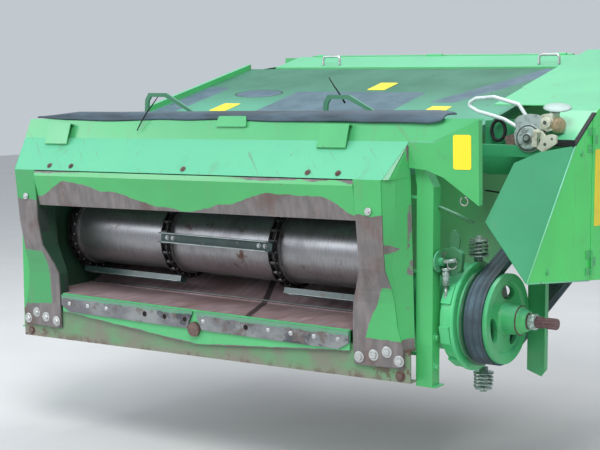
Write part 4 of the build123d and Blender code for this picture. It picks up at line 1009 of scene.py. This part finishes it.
class FEEDER_OT_coupler(Operator):
    """Makes the cast hydraulic coupler with its flap and ring"""

    bl_idname = "feeder.coupler"
    bl_label = "Hydraulic coupler"

    def execute(self, context):
        def casting(outline, back, front, radius=6):
            """Cast plate between two places in front of the coupler's centre."""
            return front_plate(outline, back, front, radius, COUPLER)

        def round_part(profile, x, y, z, sides=28):
            """Turned part looking to the front, from a place given from the coupler's centre."""
            return carried(turned(profile, sides), COUPLER + (x, y, z), FRONT, RIGHT)

        grey = [
            casting([(-60, 61), (-41, 77), (-3, 84), (34, 80), (56, 61), (58, 33), (47, 17), (53, -22), (28, -36),
                     (-22, -44), (-53, -22), (-60, 17), (-50, 33)], 12, 0, 7),
            round_part([(0, 50), (5, 50), (7, 47), (7, 41), (10, 40), (13, 38), (14, 20), (18, 19), (20, 16), (20, 9),
                        (26, 8), (26, 1)], 0, 0, 0),
            casting([(-45, -34), (30, -30), (46, 50), (-20, 66), (-48, 40)], 106, 12, 9)]
        grey += [round_part([(0, 6), (4, 6), (5, 5), (5, 1)], 31 * math.cos(a), -12, 31 * math.sin(a), 6)
                 for a in np.radians((35, 95, 150, 215, 275, 330))]
        pale = [casting([(76, 30), (93, 12), (113, 19), (133, 14), (136, -12), (84, -44), (62, -30), (74, -8)],
                        -54, -66, 3),
                casting([(40, -24), (60, -28), (61, 24), (44, 34)], 20, -62, 4),
                casting([(56, 83), (97, 89), (103, 33), (78, 24), (50, 40)], 36, -22, 5),
                round_part([(0, 19), (12, 19), (14, 17), (14, 11), (18, 10), (18, 1)], 78, -22, 56)]
        cap = carried(turned([(0, 28), (16, 28), (22, 25), (26, 16), (27, 1)], 28), COUPLER + (100, 4, 46),
                      (1, -0.35, 0.05), BACK)
        dark = [casting([(-112, 2), (-74, 12), (-52, -16), (-58, -48), (-100, -44)], 60, 30),
                casting([(-62, -40), (20, -52), (24, -38), (-50, -26)], 40, 6)]
        oily = [round_part([(0, 46.5), (0.8, 46), (0.8, 42.5), (0, 42)], 0, -7, 0),
                round_part([(0, 15.5), (0.8, 15), (0.8, 9.5), (0, 9)], 0, -20, 0),
                round_part([(0, 6), (0.8, 5.5), (0.8, 1)], 92, -66, -16, 12),
                round_part([(0, 4.5), (0.8, 4), (0.8, 1)], 118, -66, 3, 12),
                round_part([(0, 7.5), (0.8, 7), (0.8, 1)], 78, -40, 56, 16)]
        shape, uses = grouped(grey, pale, [cap], dark, oily)
        body = add_piece("coupler_casting", shape, "cast cast_pale cast_brown rusty oily", "housing",
                         False, uses)
        soften(body, 1.6)
        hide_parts("coupler_body")
        # the flap: a shallow dome over an oval, on a short arm; columns: share of the oval's size, height
        cos, sin = circle(40)
        rows = [spots(50 * share * cos, 42 * share * sin, height)
                for share, height in ((0.02, 7.2), (0.35, 6.72), (0.7, 4.8), (0.93, 1.92), (1, 0), (1, -3.2),
                                      (0.9, -3.2), (0.02, -1.6))]
        flap = carried(lofted(rows), COUPLER + (96, 20, 108), (1, 0, -0.1), (0, 0.95, 0.3))
        stem = tube(COUPLER + [(76, 10, 70), (80, 12, 88), (92, 18, 104)], 8, 12)
        add_piece("coupler_flap", join_parts([flap, stem]), "flap", "housing")
        # the ring: a thick circle, drawn out upward, each row one turn of its round section
        reach, depth = 6.5 * np.array(circle(10))
        loop = spots(930 + (27 + reach) * cos[:, None], 600 + depth, 706 + (36 + reach) * sin[:, None])
        add_piece("coupler_ring", lofted(loop, "joined"), "black", "housing")
        return {"FINISHED"}


class FEEDER_OT_seal(Operator):
    """Makes the wavy rubber seal over the hood's edge"""

    bl_idname = "feeder.seal"
    bl_label = "Rubber seal"

    def execute(self, context):
        wave = context.scene.feeder_header.seal_wave
        x = np.linspace(-860, 1038, 190)
        section = np.array([(62, 740), (63.5, 745), (65.5, 750), (71, 755.5), (84, 760.5), (100, 764),
                            (118, 766.5), (134, 768)])
        edge_y, edge_z, end_z = 66, 753, 758
        share = np.linspace(0, 1, len(section))
        # height of the waves: two sines across the machine, full at the front edge and dying out to the back
        ripple = wave * (np.sin(x / 61) * 0.5 + np.sin(x / 147 + 1) * 0.6)
        bulge = 4 * np.exp(-((x + 180) / 90) ** 2) + 5 * np.exp(-((x - 640) / 110) ** 2)
        rise = (ripple + bulge)[:, None] * (1 - share * 0.75)
        end = np.clip((x[-1] - x) / 60, 0, 1)[:, None] ** 0.5
        # the front edge hangs further over toward the right end
        over = np.clip((x - 150) / 850, 0, 1)[:, None] * np.clip(1 - share * 2.2, 0, 1)
        # toward the left end the section shrinks to a thin strip on the hood's edge
        start = np.clip((x - x[0]) / 170, 0.12, 1)[:, None] ** 0.8
        rise = rise * start
        low_y = edge_y + (section[:, 0] - edge_y) * start + rise * 0.2 - over * 13
        low_z = (edge_z + (section[:, 1] - edge_z) * start) * end + (1 - end) * end_z + rise - over * 11
        lower = spots(x[:, None], low_y, low_z)
        thick = 6 * np.maximum(start, 0.45)
        upper = lower + thick[:, :, None] * (0, -0.35, 0.9)
        rows = np.concatenate([lower, upper[:, ::-1]], 1)
        seal = add_piece("wavy_seal", lofted(rows), "seal", "tilt_frame")
        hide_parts("rubber_seal")
        return {"FINISHED"}


class FEEDER_OT_trim(Operator):
    """Adds the hood's tab and end sheets, the edges, the latch linkage and the small rods"""

    bl_idname = "feeder.trim"
    bl_label = "Trim"

    def execute(self, context):
        tab = prism(round_corners([(0, 0), (142, 0), (134, 40), (8, 40)], 6), 0, 5)
        tab = carried(tab, (80, 52, 718), np.cross(RIGHT, (0, 26, 74)), RIGHT)
        add_piece("hood_tab", tab, "hood", "tilt_frame", False)
        # the thin sheets between the hood's slanted ends and the side members: four corners and their copies set
        # inward, in the darker green that paints shade
        sheet = np.array([(866.4, -60.8, 550.6), (909.4, 41.2, 672), (900, 36.2, 659), (884.9, -49.3, 551.2)])
        sheets = [lofted(np.stack([sheet, sheet + (-9, 5, 0)]) * (side, 1, 1)) for side in SIDES]
        add_piece("hood_end_sheets", join_parts(sheets), "painted_shade_green", "tilt_frame", False)
        add_piece("floor_edge", prism([(290, 49.2), (298, 50.4), (298, 52), (290, 50.8)], -800, 800),
                  "worn_edge", "housing", False)
        # the shield's folded edges: pale worn paint with a painted highlight
        edges = [tube([(SHIELD_X, 107, 242), (SHIELD_X, 278, 455), (SHIELD_X, 449, 667)], 3, 8),
                 tube([(SHIELD_X, 107, 242), (SHIELD_X, 346, 217.5), (SHIELD_X, 584, 193.5)], 2.6, 8)]
        add_piece("shield_edge", join_parts(edges), "worn_and_highlit_edge", "housing")
        band = prism([(443, 664), (450, 664), (450, 688), (443, 688)], 1168, 1301)
        rim = prism([(0, 0), (17, 0), (17, 6), (0, 6)], 0, 196)
        rim = carried(rim, (1284, 449, 669), (0, 178, 117), RIGHT)
        guard = add_piece("edge_guard", join_parts([band, rim]), "black", "housing", False)
        soften(guard, 1.5)
        # columns: name, body, radii along the path, sides, path
        for name, body, radii, sides, path in (
                ("dark_rod", "housing", (3.2, 3.2, 3.2, 6.5), 10,
                 [(880, 600, 487), (935, 608, 481), (992, 616, 474), (1000, 617, 473)]),
                ("eye_tie", "housing", (3.8, 3.2, 2.8, 2.2), 8,
                 [(398, 400, 803), (372, 400, 838), (352, 400, 862), (326, 400, 896)]),
                ("seal_tie", "tilt_frame", (1.8, 2.4, 3, 2.8, 2.2), 8,
                 [(-240.895, 100, 829.693), (-251.421, 82, 801.886), (-259.891, 62, 777.041),
                  (-271.455, 46, 747.254), (-295.28, 37, 703.695)])):
            add_piece(name, tube(path, radii, sides), "black", body)
        # the latch linkage beside the right post
        rods = [carried(turned(profile, sides), (1006, 100, low), UP, BACK) for profile, sides, low in (
            ([(0, 13), (48, 13), (50, 11), (50, 1)], 20, 212), ([(0, 17), (9, 17), (9, 1)], 6, 262),
            ([(0, 6), (60, 6)], 12, 150))]
        rods.append(tube([(990, 92, 292), (1020, 92, 294), (1046, 96, 300)], 7, 12))
        add_piece("latch_rods", join_parts(rods), "spring", "housing")
        bar = [(930, 96, 474), (975, 97, 474), (1040, 104, 452), (1100, 118, 424)]
        # the bar and the casting wear a darker green as painted shade
        add_piece("latch_bar", tube(bar, 6), "painted_shade_latch_green", "housing")
        t = np.linspace(0.3, 2 * math.pi - 0.3, 24)
        clip = tube(spots(1034 + 3 * np.sin(t) + 16 * np.cos(t), 92 + 3 * np.cos(t),
                          286 + 16 * np.sin(t)), 1.8, 8)
        hook = tube(spots(1072 + 14 * np.cos(t + 1.8), 100, 496 + 14 * np.sin(t + 1.8)), 2.4, 8)
        add_piece("latch_clips", join_parts([clip, hook]), "pin", "housing")
        cast = [front_plate([(962, 250), (1000, 236), (1058, 262), (1064, 322), (1030, 344), (984, 330)],
                            128, 106, 9),
                front_plate([(1010, 322), (1044, 318), (1052, 372), (1030, 402), (1008, 380)], 122, 112, 9)]
        casting = add_piece("latch_casting", join_parts(cast), "painted_shade_latch_green", "housing", False)
        soften(casting, 3)
        return {"FINISHED"}


def plate_piece(name, centre, along, across, length, width, body):
    """Blank plate: a rounded rectangle spread by two directions and given a small thickness along its normal."""
    along = np.asarray(along, float) / np.linalg.norm(along)
    across = np.asarray(across, float) / np.linalg.norm(across)
    normal = np.cross(along, across)
    corners = []
    for quarter, (sx, sy) in enumerate(((1, 1), (-1, 1), (-1, -1), (1, -1))):
        a = np.linspace(0, math.pi / 2, 4) + quarter * math.pi / 2
        corners.append(spots(sx * (length / 2 - PLATE_CORNER) + PLATE_CORNER * np.cos(a),
                             sy * (width / 2 - PLATE_CORNER) + PLATE_CORNER * np.sin(a)))
    flat = centre + np.concatenate(corners) @ np.array((along, across))
    rows = [flat + normal * height for height in (0.2, 0.2 + PLATE_THICK)]
    return add_piece(name, lofted(rows), "plate", body, smooth=False)


class FEEDER_OT_plates(Operator):
    """Puts the blank yellow plates on the deck, the wing and the door"""

    bl_idname = "feeder.plates"
    bl_label = "Blank plates"

    def execute(self, context):
        slope = 0.251
        for number, (x, y) in enumerate(((-485, 785), (96, 1132), (555, 790))):
            plate_piece(f"deck_plate_{number + 1}", (x, y, 568.2 + slope * y), RIGHT, (0, 1, slope), 88, 118,
                        "housing")
        plate_piece("wing_plate", (1112, 36, 640), RIGHT, UP, 66, 112, "tilt_frame")
        plate_piece("door_plate", (SHIELD_X, 668, 514), BACK, UP, 110, 268, "door_body")
        return {"FINISHED"}


class FEEDER_PT_panel(Panel):
    """Lists the steps and the sizes in the sidebar"""

    bl_label = "Feeder House"
    bl_idname = "FEEDER_PT_panel"
    bl_space_type = "VIEW_3D"
    bl_region_type = "UI"
    bl_category = "Feeder House"

    def draw(self, context):
        for step in STEPS:
            self.layout.operator(step.bl_idname)
        for where, kind in GROUPS.items():
            box = self.layout.box()
            for name in kind.__annotations__:
                box.prop(getattr(context.scene, where), name)


STEPS = (FEEDER_OT_stage, FEEDER_OT_paint, FEEDER_OT_bolts, FEEDER_OT_chain, FEEDER_OT_slats, FEEDER_OT_drive,
         FEEDER_OT_coupler, FEEDER_OT_seal, FEEDER_OT_trim, FEEDER_OT_plates)
GROUPS = {"feeder_header": HeaderFrameSizes, "feeder_drive": DriveSizes, "feeder_stage": StageSizes}


def register():
    """Registers the groups, the operators and the panel."""
    for kind in (*GROUPS.values(), *STEPS, FEEDER_PT_panel):
        bpy.utils.register_class(kind)
    for where, kind in GROUPS.items():
        setattr(bpy.types.Scene, where, PointerProperty(type=kind))


def unregister():
    """Takes them back."""
    for where in GROUPS:
        delattr(bpy.types.Scene, where)
    for kind in (FEEDER_PT_panel, *reversed(STEPS), *GROUPS.values()):
        bpy.utils.unregister_class(kind)


def main():
    """Registers the add-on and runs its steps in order."""
    register()
    bpy.ops.feeder.stage()
    bpy.ops.feeder.paint()
    bpy.ops.feeder.bolts()
    bpy.ops.feeder.chain()
    bpy.ops.feeder.slats()
    bpy.ops.feeder.drive()
    bpy.ops.feeder.coupler()
    bpy.ops.feeder.seal()
    bpy.ops.feeder.trim()
    bpy.ops.feeder.plates()


if __name__ == "__main__":
    main()
